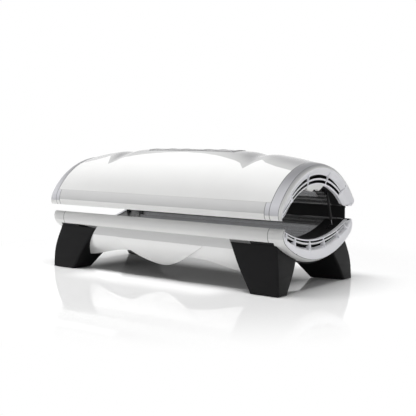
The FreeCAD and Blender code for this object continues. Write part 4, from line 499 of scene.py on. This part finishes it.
def lamp_coating(name):
    """Pale tube glass with a greyer metal cap at each end, and a faint painted glow."""
    shader = Shader(name)
    place = shader.maths("ABSOLUTE", shader.axis("X"))
    cap = shader.step(place, 0.8675, 0.8685)
    colour = shader.blend(cap, shader.mottled((0.62, 0.64, 0.70)), (0.45, 0.45, 0.46))
    # Painted light: the tubes glow faintly, as if lit.
    shader.surface.inputs["Emission Color"].default_value = (1.0, 1.0, 0.99, 1.0)
    shader.surface.inputs["Emission Strength"].default_value = 0.20
    return shader.done(colour, shader.scaled(shader.noise(30.0), 0.12, 0.2))


# ---------------------------------------------------------------- meshes
def add_object(name, mesh, body, material=None):
    """A finished piece: linked, on its body, with its slot."""
    piece = bpy.data.objects.new(name, mesh)
    bpy.context.scene.collection.objects.link(piece)
    if material is not None:
        mesh.materials.append(material)
    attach(piece, body)
    return piece


def mesh_from(name, vertices, faces):
    """Smooth-shaded closed mesh with its faces turned outwards."""
    mesh = bpy.data.meshes.new(name)
    mesh.from_pydata(vertices, [], faces)
    mesh.update()
    work = bmesh.new()
    work.from_mesh(mesh)
    bmesh.ops.remove_doubles(work, verts=work.verts, dist=1e-6)
    bmesh.ops.recalc_face_normals(work, faces=work.faces)
    work.to_mesh(mesh)
    work.free()
    mesh.shade_smooth()
    mesh.set_sharp_from_angle(angle=math.radians(35.0))
    return mesh


def round_leg_edges(work, radius):
    """Round the long outer edges of a leg cradle."""
    bmesh.ops.dissolve_limit(work, angle_limit=math.radians(0.3), verts=work.verts, edges=work.edges)
    edges = [edge for edge in work.edges if edge.is_manifold and edge.calc_length() > LEG_EDGE_SHORTEST
             and edge.calc_face_angle_signed() > math.radians(30.0)]
    bmesh.ops.bevel(work, geom=edges, offset=radius, offset_type="OFFSET", segments=4, profile=0.5,
                    affect="EDGES", clamp_overlap=True)
    bmesh.ops.triangulate(work, faces=work.faces)


def share_of(value, span):
    """How far value is along the span, 0 before it and 1 past it."""
    return min(1.0, max(0.0, (value - span[0]) / (span[1] - span[0])))


def swell_legs(work, swell):
    """Let the outer sides of a leg cradle swell between foot and top, in ten steps of height."""
    low, high = LEG_SWELL_Z
    for index in range(1, 10):
        everything = list(work.verts) + list(work.edges) + list(work.faces)
        bmesh.ops.bisect_plane(work, geom=everything, dist=1e-6, plane_no=(0.0, 0.0, 1.0),
                               plane_co=(0.0, 0.0, low + (high - low) * index / 10))
    bmesh.ops.triangulate(work, faces=work.faces)
    for vertex in work.verts:
        x, y, z = vertex.co
        bulge = swell * math.sin(math.pi * share_of(z, LEG_SWELL_Z))
        vertex.co.x += math.copysign(bulge * share_of(abs(x), LEG_SWELL_X), x)
        vertex.co.y += math.copysign(bulge * share_of(abs(y), LEG_SWELL_Y), y)


def smooth_copy(node, materials, angle=28.0, inner=None, reshape=None):
    """Smooth-shaded copy that stands for a node.

    Faces for which inner(centre, normal) is true get the second material; reshape works on the bmesh.
    """
    mesh = NODES[node].data.copy()
    mesh.name = node + "_skin"
    work = bmesh.new()
    work.from_mesh(mesh)
    bmesh.ops.remove_doubles(work, verts=work.verts, dist=2e-6)
    if reshape is not None:
        reshape(work)
    work.to_mesh(mesh)
    work.free()
    for name in [layer.name for layer in mesh.attributes if layer.name == "custom_normal"]:
        mesh.attributes.remove(mesh.attributes[name])
    mesh.shade_smooth()
    mesh.set_sharp_from_angle(angle=math.radians(angle))
    mesh.materials.clear()
    for material in materials:
        mesh.materials.append(material)
    for polygon in mesh.polygons:
        inside = inner is not None and inner(polygon.center, polygon.normal)
        polygon.material_index = 1 if inside else 0
    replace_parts(add_object(node + "_skin", mesh, NODES[node]["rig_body"]), node)


def repaint(node, material):
    """Give a node that stays as it is its finish."""
    mesh = NODES[node].data
    mesh.materials.clear()
    mesh.materials.append(material)


def faces_inwards(centre, normal):
    """True for a face that looks at the inside of the bed's hollow skins; such faces get painted shade."""
    outward = Vector((0.3 * centre.x, centre.y, centre.z - MIDDLE_Z)).normalized()
    return outward.dot(normal) < -0.35


def faces_middle(centre, normal):
    """True for a face of a rail that looks at the bed's lengthwise middle; such faces get painted shade."""
    return normal.y * math.copysign(1.0, centre.y) < -0.25


def faces_bed(centre, normal):
    """True for a face of an end ring that looks back at the lamps; such faces get painted shade."""
    return normal.x * math.copysign(1.0, centre.x) < -0.3


def arc_film(part, up, spans, count=48):
    """Thin curved films of print that follow a part's sheet, one for each span of X."""
    vertices, faces = [], []
    axis_z, angles = SHEET_AXIS_Z[part], PRINT_ANGLES[part]
    for x_range in spans:
        base = len(vertices)
        for index in range(count + 1):
            angle = math.radians(angles[0] + (angles[1] - angles[0]) * index / count)
            for radius in PRINT_RADII[part]:
                for x in x_range:
                    vertices.append((x, radius * math.sin(angle), axis_z + up * radius * math.cos(angle)))
        corners = (0, 1, 3, 2)
        for index in range(count):
            first = base + 4 * index
            for a, b in zip(corners, corners[1:] + corners[:1]):
                faces.append((first + a, first + b, first + 4 + b, first + 4 + a))
        faces.append(tuple(base + corner for corner in corners))
        faces.append(tuple(base + 4 * count + corner for corner in corners[::-1]))
    return vertices, faces


def surface_finder(node):
    """Function that gives the place and direction of the node's surface met from a point."""
    mesh = NODES[node].data
    tree = BVHTree.FromPolygons([vertex.co.copy() for vertex in mesh.vertices],
                                [list(polygon.vertices) for polygon in mesh.polygons])

    def find(origin, direction):
        place, normal, _, _ = tree.ray_cast(Vector(origin), Vector(direction))
        if place is None:
            raise ValueError("nothing met from %s" % (origin,))
        return place, normal

    return find


def strip_on(find, line, width, side, lift=0.0004, sink=0.001, count=24):
    """Thin strip that hugs an end's face along a line of (y, z) points."""
    points = [Vector(point) for point in line]
    vertices, faces = [], []
    for index in range(count + 1):
        share = index / count * (len(points) - 1)
        first = min(int(share), len(points) - 2)
        place = points[first].lerp(points[first + 1], share - first)
        along = (points[first + 1] - points[first]).normalized()
        across = Vector((-along.y, along.x)) * 0.5 * width
        for offset, depth in ((-1.0, lift), (1.0, lift), (1.0, -sink), (-1.0, -sink)):
            y, z = place + across * offset
            met, _ = find((side * FAR_OUT, y, z), (-side, 0.0, 0.0))
            vertices.append((met.x + side * depth, y, z))
    for index in range(count):
        base = 4 * index
        for a, b in ((0, 1), (1, 2), (2, 3), (3, 0)):
            faces.append((base + a, base + b, base + 4 + b, base + 4 + a))
    faces += [(0, 1, 2, 3), tuple(4 * count + corner for corner in (3, 2, 1, 0))]
    return vertices, faces


# Sizes of a cover screw as shares of its diameter.
SCREW_TOP, SCREW_BASE, SCREW_RECESS, SCREW_HEIGHT = 0.40, 0.50, 0.22, 0.22


def screw_tree():
    """Geometry nodes: one socket-head screw on every point, turned to the point's facing."""
    tree = bpy.data.node_groups.new("cover_screws", "GeometryNodeTree")
    face = tree.interface
    face.new_socket("Points", in_out="INPUT", socket_type="NodeSocketGeometry")
    for name in ("Diameter", "Height"):
        face.new_socket(name, in_out="INPUT", socket_type="NodeSocketFloat").subtype = "DISTANCE"
    face.new_socket("Finish", in_out="INPUT", socket_type="NodeSocketMaterial")
    face.new_socket("Screws", in_out="OUTPUT", socket_type="NodeSocketGeometry")
    nodes, links = tree.nodes, tree.links
    given, result = nodes.new("NodeGroupInput"), nodes.new("NodeGroupOutput")

    def share(name, factor):
        node = nodes.new("ShaderNodeMath")
        node.operation = "MULTIPLY"
        links.new(given.outputs[name], node.inputs[0])
        node.inputs[1].default_value = factor
        return node.outputs[0]

    head = nodes.new("GeometryNodeMeshCone")
    head.inputs["Vertices"].default_value = 20
    links.new(share("Diameter", SCREW_TOP), head.inputs["Radius Top"])
    links.new(share("Diameter", SCREW_BASE), head.inputs["Radius Bottom"])
    links.new(given.outputs["Height"], head.inputs["Depth"])
    recess = nodes.new("GeometryNodeMeshCylinder")
    recess.inputs["Vertices"].default_value = 6
    links.new(share("Diameter", SCREW_RECESS), recess.inputs["Radius"])
    links.new(given.outputs["Height"], recess.inputs["Depth"])
    lift = nodes.new("ShaderNodeCombineXYZ")
    links.new(given.outputs["Height"], lift.inputs["Z"])
    raised = nodes.new("GeometryNodeTransform")
    links.new(recess.outputs["Mesh"], raised.inputs["Geometry"])
    links.new(lift.outputs[0], raised.inputs["Translation"])
    cut = nodes.new("GeometryNodeMeshBoolean")
    cut.operation = "DIFFERENCE"
    links.new(head.outputs["Mesh"], cut.inputs["Mesh 1"])
    links.new(raised.outputs["Geometry"], cut.inputs["Mesh 2"])
    facing = nodes.new("GeometryNodeInputNamedAttribute")
    facing.data_type = "FLOAT_VECTOR"
    facing.inputs["Name"].default_value = "facing"
    turned = nodes.new("FunctionNodeAlignRotationToVector")
    turned.axis = "Z"
    links.new(facing.outputs["Attribute"], turned.inputs["Vector"])
    placed = nodes.new("GeometryNodeInstanceOnPoints")
    links.new(given.outputs["Points"], placed.inputs["Points"])
    links.new(cut.outputs["Mesh"], placed.inputs["Instance"])
    links.new(turned.outputs["Rotation"], placed.inputs["Rotation"])
    real = nodes.new("GeometryNodeRealizeInstances")
    links.new(placed.outputs["Instances"], real.inputs["Geometry"])
    finished = nodes.new("GeometryNodeSetMaterial")
    links.new(real.outputs["Geometry"], finished.inputs["Geometry"])
    links.new(given.outputs["Finish"], finished.inputs["Material"])
    links.new(finished.outputs["Geometry"], result.inputs["Screws"])
    return tree


def bake_screws(name, tree, places, settings):
    """Mesh of the screws on the given places, each a point and a direction."""
    points = bpy.data.meshes.new(name + "_points")
    points.from_pydata([tuple(place) for place, _ in places], [], [])
    facing = points.attributes.new("facing", "FLOAT_VECTOR", "POINT")
    for index, (_, direction) in enumerate(places):
        facing.data[index].vector = direction
    carrier = bpy.data.objects.new(name + "_points", points)
    bpy.context.scene.collection.objects.link(carrier)
    modifier = carrier.modifiers.new("screws", "NODES")
    modifier.node_group = tree
    for item in tree.interface.items_tree:
        if item.in_out == "INPUT" and item.name in settings:
            modifier[item.identifier] = settings[item.name]
    mesh = bpy.data.meshes.new_from_object(carrier.evaluated_get(bpy.context.evaluated_depsgraph_get()))
    bpy.data.objects.remove(carrier)
    bpy.data.meshes.remove(points)
    mesh.name = name
    return mesh


# ---------------------------------------------------------------- studio
def add_light(name, place, target, size, power):
    """Rectangular softbox that neither the camera nor gloss sees."""
    light = bpy.data.lights.new(name, "AREA")
    light.shape = "RECTANGLE"
    light.size, light.size_y = size
    light.energy = power
    lamp = bpy.data.objects.new(name, light)
    bpy.context.scene.collection.objects.link(lamp)
    lamp.location = place
    lamp.rotation_euler = (Vector(target) - Vector(place)).to_track_quat("-Z", "Y").to_euler()
    lamp.visible_camera = False
    lamp.visible_glossy = False


def floor_masks(shader):
    """Masks of the floor: 1 clear of the shade under the bed, and 1 in the pool of light before it."""
    forward = shader.maths("MULTIPLY", shader.axis("Y"), -1.0)
    sideways = shader.maths("ABSOLUTE", shader.axis("X"))
    across = shader.maths("MAXIMUM", shader.step(forward, *SHADE_FRONT),
                          shader.step(shader.axis("Y"), *SHADE_REAR))
    clear = shader.maths("MAXIMUM", across, shader.step(sideways, *SHADE_ENDS))
    near = shader.maths("SUBTRACT", shader.step(forward, *POOL_START), shader.step(forward, *POOL_FRONT))
    between = shader.maths("SUBTRACT", 1.0, shader.step(sideways, *POOL_ENDS))
    return clear, shader.maths("MULTIPLY", near, between)


def make_floor():
    """Glossy white floor that turns plain white far from the bed."""
    corners = [(x * FLOOR_REACH, y * FLOOR_REACH, 0.0) for x, y in ((-1, -1), (1, -1), (1, 1), (-1, 1))]
    mesh = bpy.data.meshes.new("floor")
    mesh.from_pydata(corners, [], [(0, 1, 2, 3)])
    floor = bpy.data.objects.new("floor", mesh)
    bpy.context.scene.collection.objects.link(floor)
    shader = Shader("floor_white")
    tree = shader.tree
    tree.nodes.remove(shader.surface)
    diffuse = shader.add("ShaderNodeBsdfDiffuse")
    seen = shader.add("ShaderNodeLightPath")
    direct = shader.maths("MAXIMUM", seen.outputs["Is Camera Ray"], seen.outputs["Is Glossy Ray"])
    direct = shader.maths("MAXIMUM", direct, seen.outputs["Is Transmission Ray"])
    bounced = shader.mottled((0.75, 0.75, 0.75), 3.0, 0.005)
    clear, pool = floor_masks(shader)
    lit = shader.blend(clear, FLOOR_SHADED, shader.blend(pool, FLOOR_OPEN, FLOOR_POOL))
    shader.feed(diffuse.inputs["Color"], shader.blend(direct, bounced, lit))
    gloss = shader.add("ShaderNodeBsdfGlossy")
    gloss.inputs["Roughness"].default_value = 0.04
    mirror = shader.add("ShaderNodeMixShader")
    shader.link(shader.scaled(clear, *FLOOR_MIRROR), mirror.inputs["Fac"])
    shader.link(diffuse.outputs[0], mirror.inputs[1])
    shader.link(gloss.outputs[0], mirror.inputs[2])
    glow = shader.add("ShaderNodeEmission")
    length = shader.vector("LENGTH", shader.coordinates.outputs["Object"], result="Value")
    far = shader.step(length, *FLOOR_WHITE_FROM)
    whiten = shader.add("ShaderNodeMixShader")
    shader.link(shader.maths("MULTIPLY", far, direct), whiten.inputs["Fac"])
    shader.link(mirror.outputs[0], whiten.inputs[1])
    shader.link(glow.outputs[0], whiten.inputs[2])
    shader.link(whiten.outputs[0], tree.nodes["Material Output"].inputs["Surface"])
    mesh.materials.append(shader.material)


def make_world(scene):
    """White behind the bed and in its gloss, a dimmer even light all round."""
    world = bpy.data.worlds.new("studio_world")
    world.use_nodes = True
    scene.world = world
    tree = world.node_tree
    tree.nodes.clear()
    output = tree.nodes.new("ShaderNodeOutputWorld")
    path = tree.nodes.new("ShaderNodeLightPath")
    lit = tree.nodes.new("ShaderNodeBackground")
    lit.inputs["Color"].default_value = (1.0, 1.0, 1.0, 1.0)
    sky = tree.nodes.new("ShaderNodeTexCoord")
    height = tree.nodes.new("ShaderNodeSeparateXYZ")
    tree.links.new(sky.outputs["Generated"], height.inputs[0])
    rise = tree.nodes.new("ShaderNodeMapRange")
    rise.interpolation_type = "SMOOTHSTEP"
    rise.inputs["From Min"].default_value, rise.inputs["From Max"].default_value = SKY_RISE
    rise.inputs["To Min"].default_value, rise.inputs["To Max"].default_value = SKY_STRENGTH
    tree.links.new(height.outputs["Z"], rise.inputs["Value"])
    tree.links.new(rise.outputs["Result"], lit.inputs["Strength"])
    seen = tree.nodes.new("ShaderNodeBackground")
    seen.inputs["Color"].default_value = (1.0, 1.0, 1.0, 1.0)
    seen.inputs["Strength"].default_value = 1.0
    masks = [path.outputs[name] for name in ("Is Camera Ray", "Is Glossy Ray", "Is Transmission Ray")]
    total = masks[0]
    for mask in masks[1:]:
        larger = tree.nodes.new("ShaderNodeMath")
        larger.operation = "MAXIMUM"
        tree.links.new(total, larger.inputs[0])
        tree.links.new(mask, larger.inputs[1])
        total = larger.outputs[0]
    mix = tree.nodes.new("ShaderNodeMixShader")
    tree.links.new(total, mix.inputs["Fac"])
    tree.links.new(lit.outputs[0], mix.inputs[1])
    tree.links.new(seen.outputs[0], mix.inputs[2])
    tree.links.new(mix.outputs[0], output.inputs["Surface"])


def add_camera(scene):
    """Long lens from low down at the front right."""
    azimuth, elevation = math.radians(CAMERA_AZIMUTH), math.radians(CAMERA_ELEVATION)
    data = bpy.data.cameras.new("camera")
    data.lens = CAMERA_LENS
    data.sensor_width = 36.0
    camera = bpy.data.objects.new("camera", data)
    scene.collection.objects.link(camera)
    direction = Vector((math.sin(azimuth) * math.cos(elevation), -math.cos(azimuth) * math.cos(elevation),
                        math.sin(elevation)))
    camera.location = Vector(CAMERA_TARGET) + CAMERA_DISTANCE * direction
    camera.rotation_euler = (-direction).to_track_quat("-Z", "Y").to_euler()
    scene.camera = camera


# ---------------------------------------------------------------- operators
class TANNINGBED_OT_shells(bpy.types.Operator):
    """Finish the canopy shell, its vent, the aprons and the shield."""

    bl_idname = "tanningbed.shells"
    bl_label = "Shells and aprons"

    def execute(self, context):
        finish = context.scene.tanning_bed_finish
        # Painted shade: faces inside the hollow skins are near black, where only shade falls.
        dark = plain("inner_painted_shade", (0.02, 0.02, 0.021), 0.6)
        shell = gloss_shell("shell_gloss", finish, context.scene.tanning_bed_sizes.seam_width)
        panel = white_panel("panel_gloss", finish)
        smooth_copy("canopy_shell", (shell, dark), inner=faces_inwards)
        smooth_copy("top_vent", (plain("vent_grey", (0.50, 0.50, 0.505), 0.3), dark), inner=faces_inwards)
        for node in ("front_apron", "rear_apron", "front_shield"):
            smooth_copy(node, (panel,))
        return {"FINISHED"}


class TANNINGBED_OT_rails(bpy.types.Operator):
    """Finish the rails, end frames and end rings."""

    bl_idname = "tanningbed.rails"
    bl_label = "Rails and ends"

    def execute(self, context):
        finish = context.scene.tanning_bed_finish
        width = context.scene.tanning_bed_sizes.seam_width
        dark = bpy.data.materials["inner_painted_shade"]
        rails = {"canopy": rail_plastic("canopy_rail_satin", finish, finish.rail_grey,
                                        CANOPY_RAIL_LIP_Z, width),
                 "bed": rail_plastic("bed_rail_satin", finish, finish.bed_rail_grey, BED_RAIL_LIP_Z, width)}
        frames = {"canopy": frame_plastic("canopy_end_satin", finish, (finish.frame_grey, finish.frame_top_shade),
                                          CANOPY_FRAME_LIP_Z, CANOPY_FRAME_JOINTS, width),
                  # On the bed's frames the rail grey serves as painted shade where they face up.
                  "bed": frame_plastic("bed_end_satin", finish, (finish.bed_rail_grey, finish.rail_grey),
                                       BED_FRAME_LIP_Z, BED_FRAME_JOINTS, width)}
        # Painted shade on the rail faces that look into the bed.
        inner = plain("rail_inner_shade", (0.10, 0.10, 0.102), 0.4)
        for part in ("canopy", "bed"):
            ring = ring_plastic(part + "_ring_satin", finish, RING_AXIS_Z[part])
            for place in ("front", "rear"):
                smooth_copy(part + "_rail_" + place, (rails[part], inner), inner=faces_middle)
            for end, _ in ENDS:
                smooth_copy(part + "_end_frame_" + end, (frames[part], dark), inner=faces_inwards)
                smooth_copy(part + "_end_ring_" + end, (ring, dark), inner=faces_bed)
        return {"FINISHED"}


class TANNINGBED_OT_legs(bpy.types.Operator):
    """Finish the leg cradles, foot pads, pan and rear wall."""

    bl_idname = "tanningbed.legs"
    bl_label = "Legs and pan"

    def execute(self, context):
        finish = context.scene.tanning_bed_finish
        sizes = context.scene.tanning_bed_sizes

        def soften(work):
            round_leg_edges(work, sizes.leg_rounding)
            swell_legs(work, sizes.leg_swell)

        black = plain("leg_satin", finish.leg_black, 0.36, grain=2500.0, depth=0.00005, specular=0.12)
        sheet = plain("black_sheet_metal", (0.006, 0.006, 0.0065), 0.42, specular=0.25)
        rubber = plain("black_rubber", (0.012, 0.012, 0.012), 0.7)
        for end, _ in ENDS:
            smooth_copy("leg_cradle_" + end, (black,), angle=40.0, reshape=soften)
        for node in ("bed_pan", "rear_wall"):
            smooth_copy(node, (sheet,))
        for node in ("foot_pads", "rear_seal"):
            repaint(node, rubber)
        return {"FINISHED"}


class TANNINGBED_OT_lamps(bpy.types.Operator):
    """Finish the lamps, what carries them and the clear sheets."""

    bl_idname = "tanningbed.lamps"
    bl_label = "Lamps and sheets"

    def execute(self, context):
        tube = lamp_coating("lamp_tube")
        finishes = {
            "lampholders": plain("lampholder_white", (0.55, 0.55, 0.55), 0.45),
            # Painted light: the reflector glows a little, though it is no lamp.
            "reflector": plain("reflector_aluminium", (0.30, 0.30, 0.31), 0.25, grain=60.0, metallic=1.0,
                               stretch=(0.02, 1.0, 1.0), glow=0.10),
            "frame": plain("powder_coat", (0.012, 0.012, 0.013), 0.5, grain=1200.0, depth=0.0001),
            "ballasts": plain("ballast_paint", (0.40, 0.40, 0.38), 0.4),
            "fan_housings": plain("fan_plastic", (0.02, 0.02, 0.02), 0.5),
            "fan_rotor_left": plain("rotor_plastic", (0.03, 0.03, 0.03), 0.45),
        }
        finishes["fan_rotor_right"] = finishes["fan_rotor_left"]
        for part in ("bed", "canopy"):
            sheet = acrylic(part + "_acrylic", (0.12, 0.12, 0.12), 0.40, part)
            smooth_copy(part + "_clear_sheet", (sheet,))
            smooth_copy(part + "_lamps", (tube,))
            for name, material in finishes.items():
                repaint(part + "_" + name, material)
        return {"FINISHED"}


class TANNINGBED_OT_prints(bpy.types.Operator):
    """Black print on the ends of the clear sheets."""

    bl_idname = "tanningbed.prints"
    bl_label = "End prints"

    def execute(self, context):
        sizes = context.scene.tanning_bed_sizes
        ink = plain("end_print_black", (0.022, 0.022, 0.0225), 0.3, specular=0.3)
        for part, body, up, start in (("bed", "base", -1.0, sizes.bed_print_start),
                                      ("canopy", "canopy", 1.0, sizes.canopy_print_start)):
            name = part + "_end_prints"
            spans = [sorted((side * start, side * sizes.print_end)) for _, side in ENDS]
            vertices, faces = arc_film(part, up, spans)
            add_object(name, mesh_from(name, vertices, faces), body, ink)
        return {"FINISHED"}


class TANNINGBED_OT_slots(bpy.types.Operator):
    """Two narrow dark strips of painted shade, standing for slots, down the front foot of each canopy ring.
    """

    bl_idname = "tanningbed.slots"
    bl_label = "Foot slots"

    def execute(self, context):
        sizes = context.scene.tanning_bed_sizes
        dark = bpy.data.materials["inner_painted_shade"]
        for end, side in ENDS:
            find = surface_finder("canopy_end_ring_" + end)
            for number, line in enumerate(FOOT_SLOTS, 1):
                vertices, faces = strip_on(find, line, sizes.foot_slot_width, side)
                name = "canopy_foot_slot_%s_%d" % (end, number)
                add_object(name, mesh_from(name, vertices, faces), "canopy", dark)
        return {"FINISHED"}


class TANNINGBED_OT_screws(bpy.types.Operator):
    """Cover screws of the rear apron, the top vent and the end rings."""

    bl_idname = "tanningbed.screws"
    bl_label = "Cover screws"

    def execute(self, context):
        sizes = context.scene.tanning_bed_sizes
        finish = plain("screw_steel", (0.42, 0.42, 0.43), 0.3, metallic=1.0)
        find_apron = surface_finder("rear_apron")
        base = [find_apron((x, FAR_OUT, APRON_SCREW_Z), (0.0, -1.0, 0.0)) for x in APRON_SCREW_X]
        find_vent = surface_finder("top_vent")
        low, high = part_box("top_vent")
        inset = 0.75 * sizes.screw_diameter
        canopy = [find_vent((x, y, FAR_OUT), (0.0, 0.0, -1.0)) for x in (low[0] + inset, 0.0, high[0] - inset)
                  for y in (low[1] + inset, high[1] - inset)]
        for end, side in ENDS:
            find_top = surface_finder("canopy_end_ring_" + end)
            find_low = surface_finder("bed_end_ring_" + end)
            canopy += [find_top((side * FAR_OUT, y, z), (-side, 0.0, 0.0)) for y, z in CANOPY_RING_SCREWS]
            base += [find_low((side * FAR_OUT, y, z), (-side, 0.0, 0.0)) for y, z in BED_RING_SCREWS]
        tree = screw_tree()
        settings = {"Diameter": sizes.screw_diameter, "Height": SCREW_HEIGHT * sizes.screw_diameter,
                    "Finish": finish}
        for body, places in (("base", base), ("canopy", canopy)):
            name = body + "_cover_screws"
            add_object(name, bake_screws(name, tree, places, settings), body)
        return {"FINISHED"}


class TANNINGBED_OT_fittings(bpy.types.Operator):
    """Finish hinges, gas springs, controls, face tanner, nozzle and gland."""

    bl_idname = "tanningbed.fittings"
    bl_label = "Fittings"

    def execute(self, context):
        black = bpy.data.materials["black_sheet_metal"]
        zinc = plain("zinc_steel", (0.55, 0.55, 0.55), 0.3, metallic=1.0)
        chrome = plain("rod_chrome", (0.16, 0.16, 0.165), 0.14, metallic=1.0, spread=0.04)
        nozzle = plain("nozzle_pale", (0.90, 0.90, 0.88), 0.35, grain=700.0, depth=0.0003)
        filter_glass = acrylic("filter_glass", (0.02, 0.03, 0.12), 0.75)
        for end, _ in ENDS:
            smooth_copy("strut_tube_" + end, (black,))
            smooth_copy("strut_rod_" + end, (chrome,))
        for node in ("hinge_brackets", "hinge_leaves", "strut_feet", "strut_heads", "control_pod",
                     "face_tanner", "mains_gland"):
            smooth_copy(node, (black,))
        for node in ("hinge_pins", "cradle_bolts"):
            smooth_copy(node, (zinc,))
        smooth_copy("air_nozzle", (nozzle,))
        repaint("face_tanner_glass", filter_glass)
        for name, colour in (("start", (0.05, 0.40, 0.12)), ("stop", (0.55, 0.03, 0.03)),
                             ("fan", (0.40, 0.40, 0.42)), ("face", (0.40, 0.40, 0.42))):
            smooth_copy("button_" + name, (plain("button_" + name + "_gloss", colour, 0.18),))
        return {"FINISHED"}


class TANNINGBED_OT_studio(bpy.types.Operator):
    """Floor, world, lights and camera."""

    bl_idname = "tanningbed.studio"
    bl_label = "Studio"

    def execute(self, context):
        scene = context.scene
        make_floor()
        make_world(scene)
        for settings in LIGHTS:
            add_light(*settings)
        add_camera(scene)
        scene.view_settings.view_transform = "Standard"
        return {"FINISHED"}


OPERATORS = (TANNINGBED_OT_shells, TANNINGBED_OT_rails, TANNINGBED_OT_legs, TANNINGBED_OT_lamps,
             TANNINGBED_OT_prints, TANNINGBED_OT_slots, TANNINGBED_OT_screws, TANNINGBED_OT_fittings,
             TANNINGBED_OT_studio)


class TANNINGBED_PT_panel(bpy.types.Panel):
    """Sidebar panel that lists the settings and the steps."""

    bl_idname = "TANNINGBED_PT_panel"
    bl_label = "Tanning Bed"
    bl_space_type = "VIEW_3D"
    bl_region_type = "UI"
    bl_category = "Tanning Bed"

    def draw(self, context):
        for group in (context.scene.tanning_bed_finish, context.scene.tanning_bed_sizes):
            for name in group.bl_rna.properties.keys():
                if name not in ("rna_type", "name"):
                    self.layout.prop(group, name)
        for operator in OPERATORS:
            self.layout.operator(operator.bl_idname)


GROUPS = (TanningBedFinish, TanningBedSizes)


def register():
    for cls in GROUPS + OPERATORS + (TANNINGBED_PT_panel,):
        bpy.utils.register_class(cls)
    bpy.types.Scene.tanning_bed_finish = bpy.props.PointerProperty(type=TanningBedFinish)
    bpy.types.Scene.tanning_bed_sizes = bpy.props.PointerProperty(type=TanningBedSizes)


def unregister():
    del bpy.types.Scene.tanning_bed_sizes
    del bpy.types.Scene.tanning_bed_finish
    for cls in reversed(GROUPS + OPERATORS + (TANNINGBED_PT_panel,)):
        bpy.utils.unregister_class(cls)


def main():
    register()
    for operator in OPERATORS:
        group, name = operator.bl_idname.split(".")
        getattr(getattr(bpy.ops, group), name)()


if __name__ == "__main__":
    main()
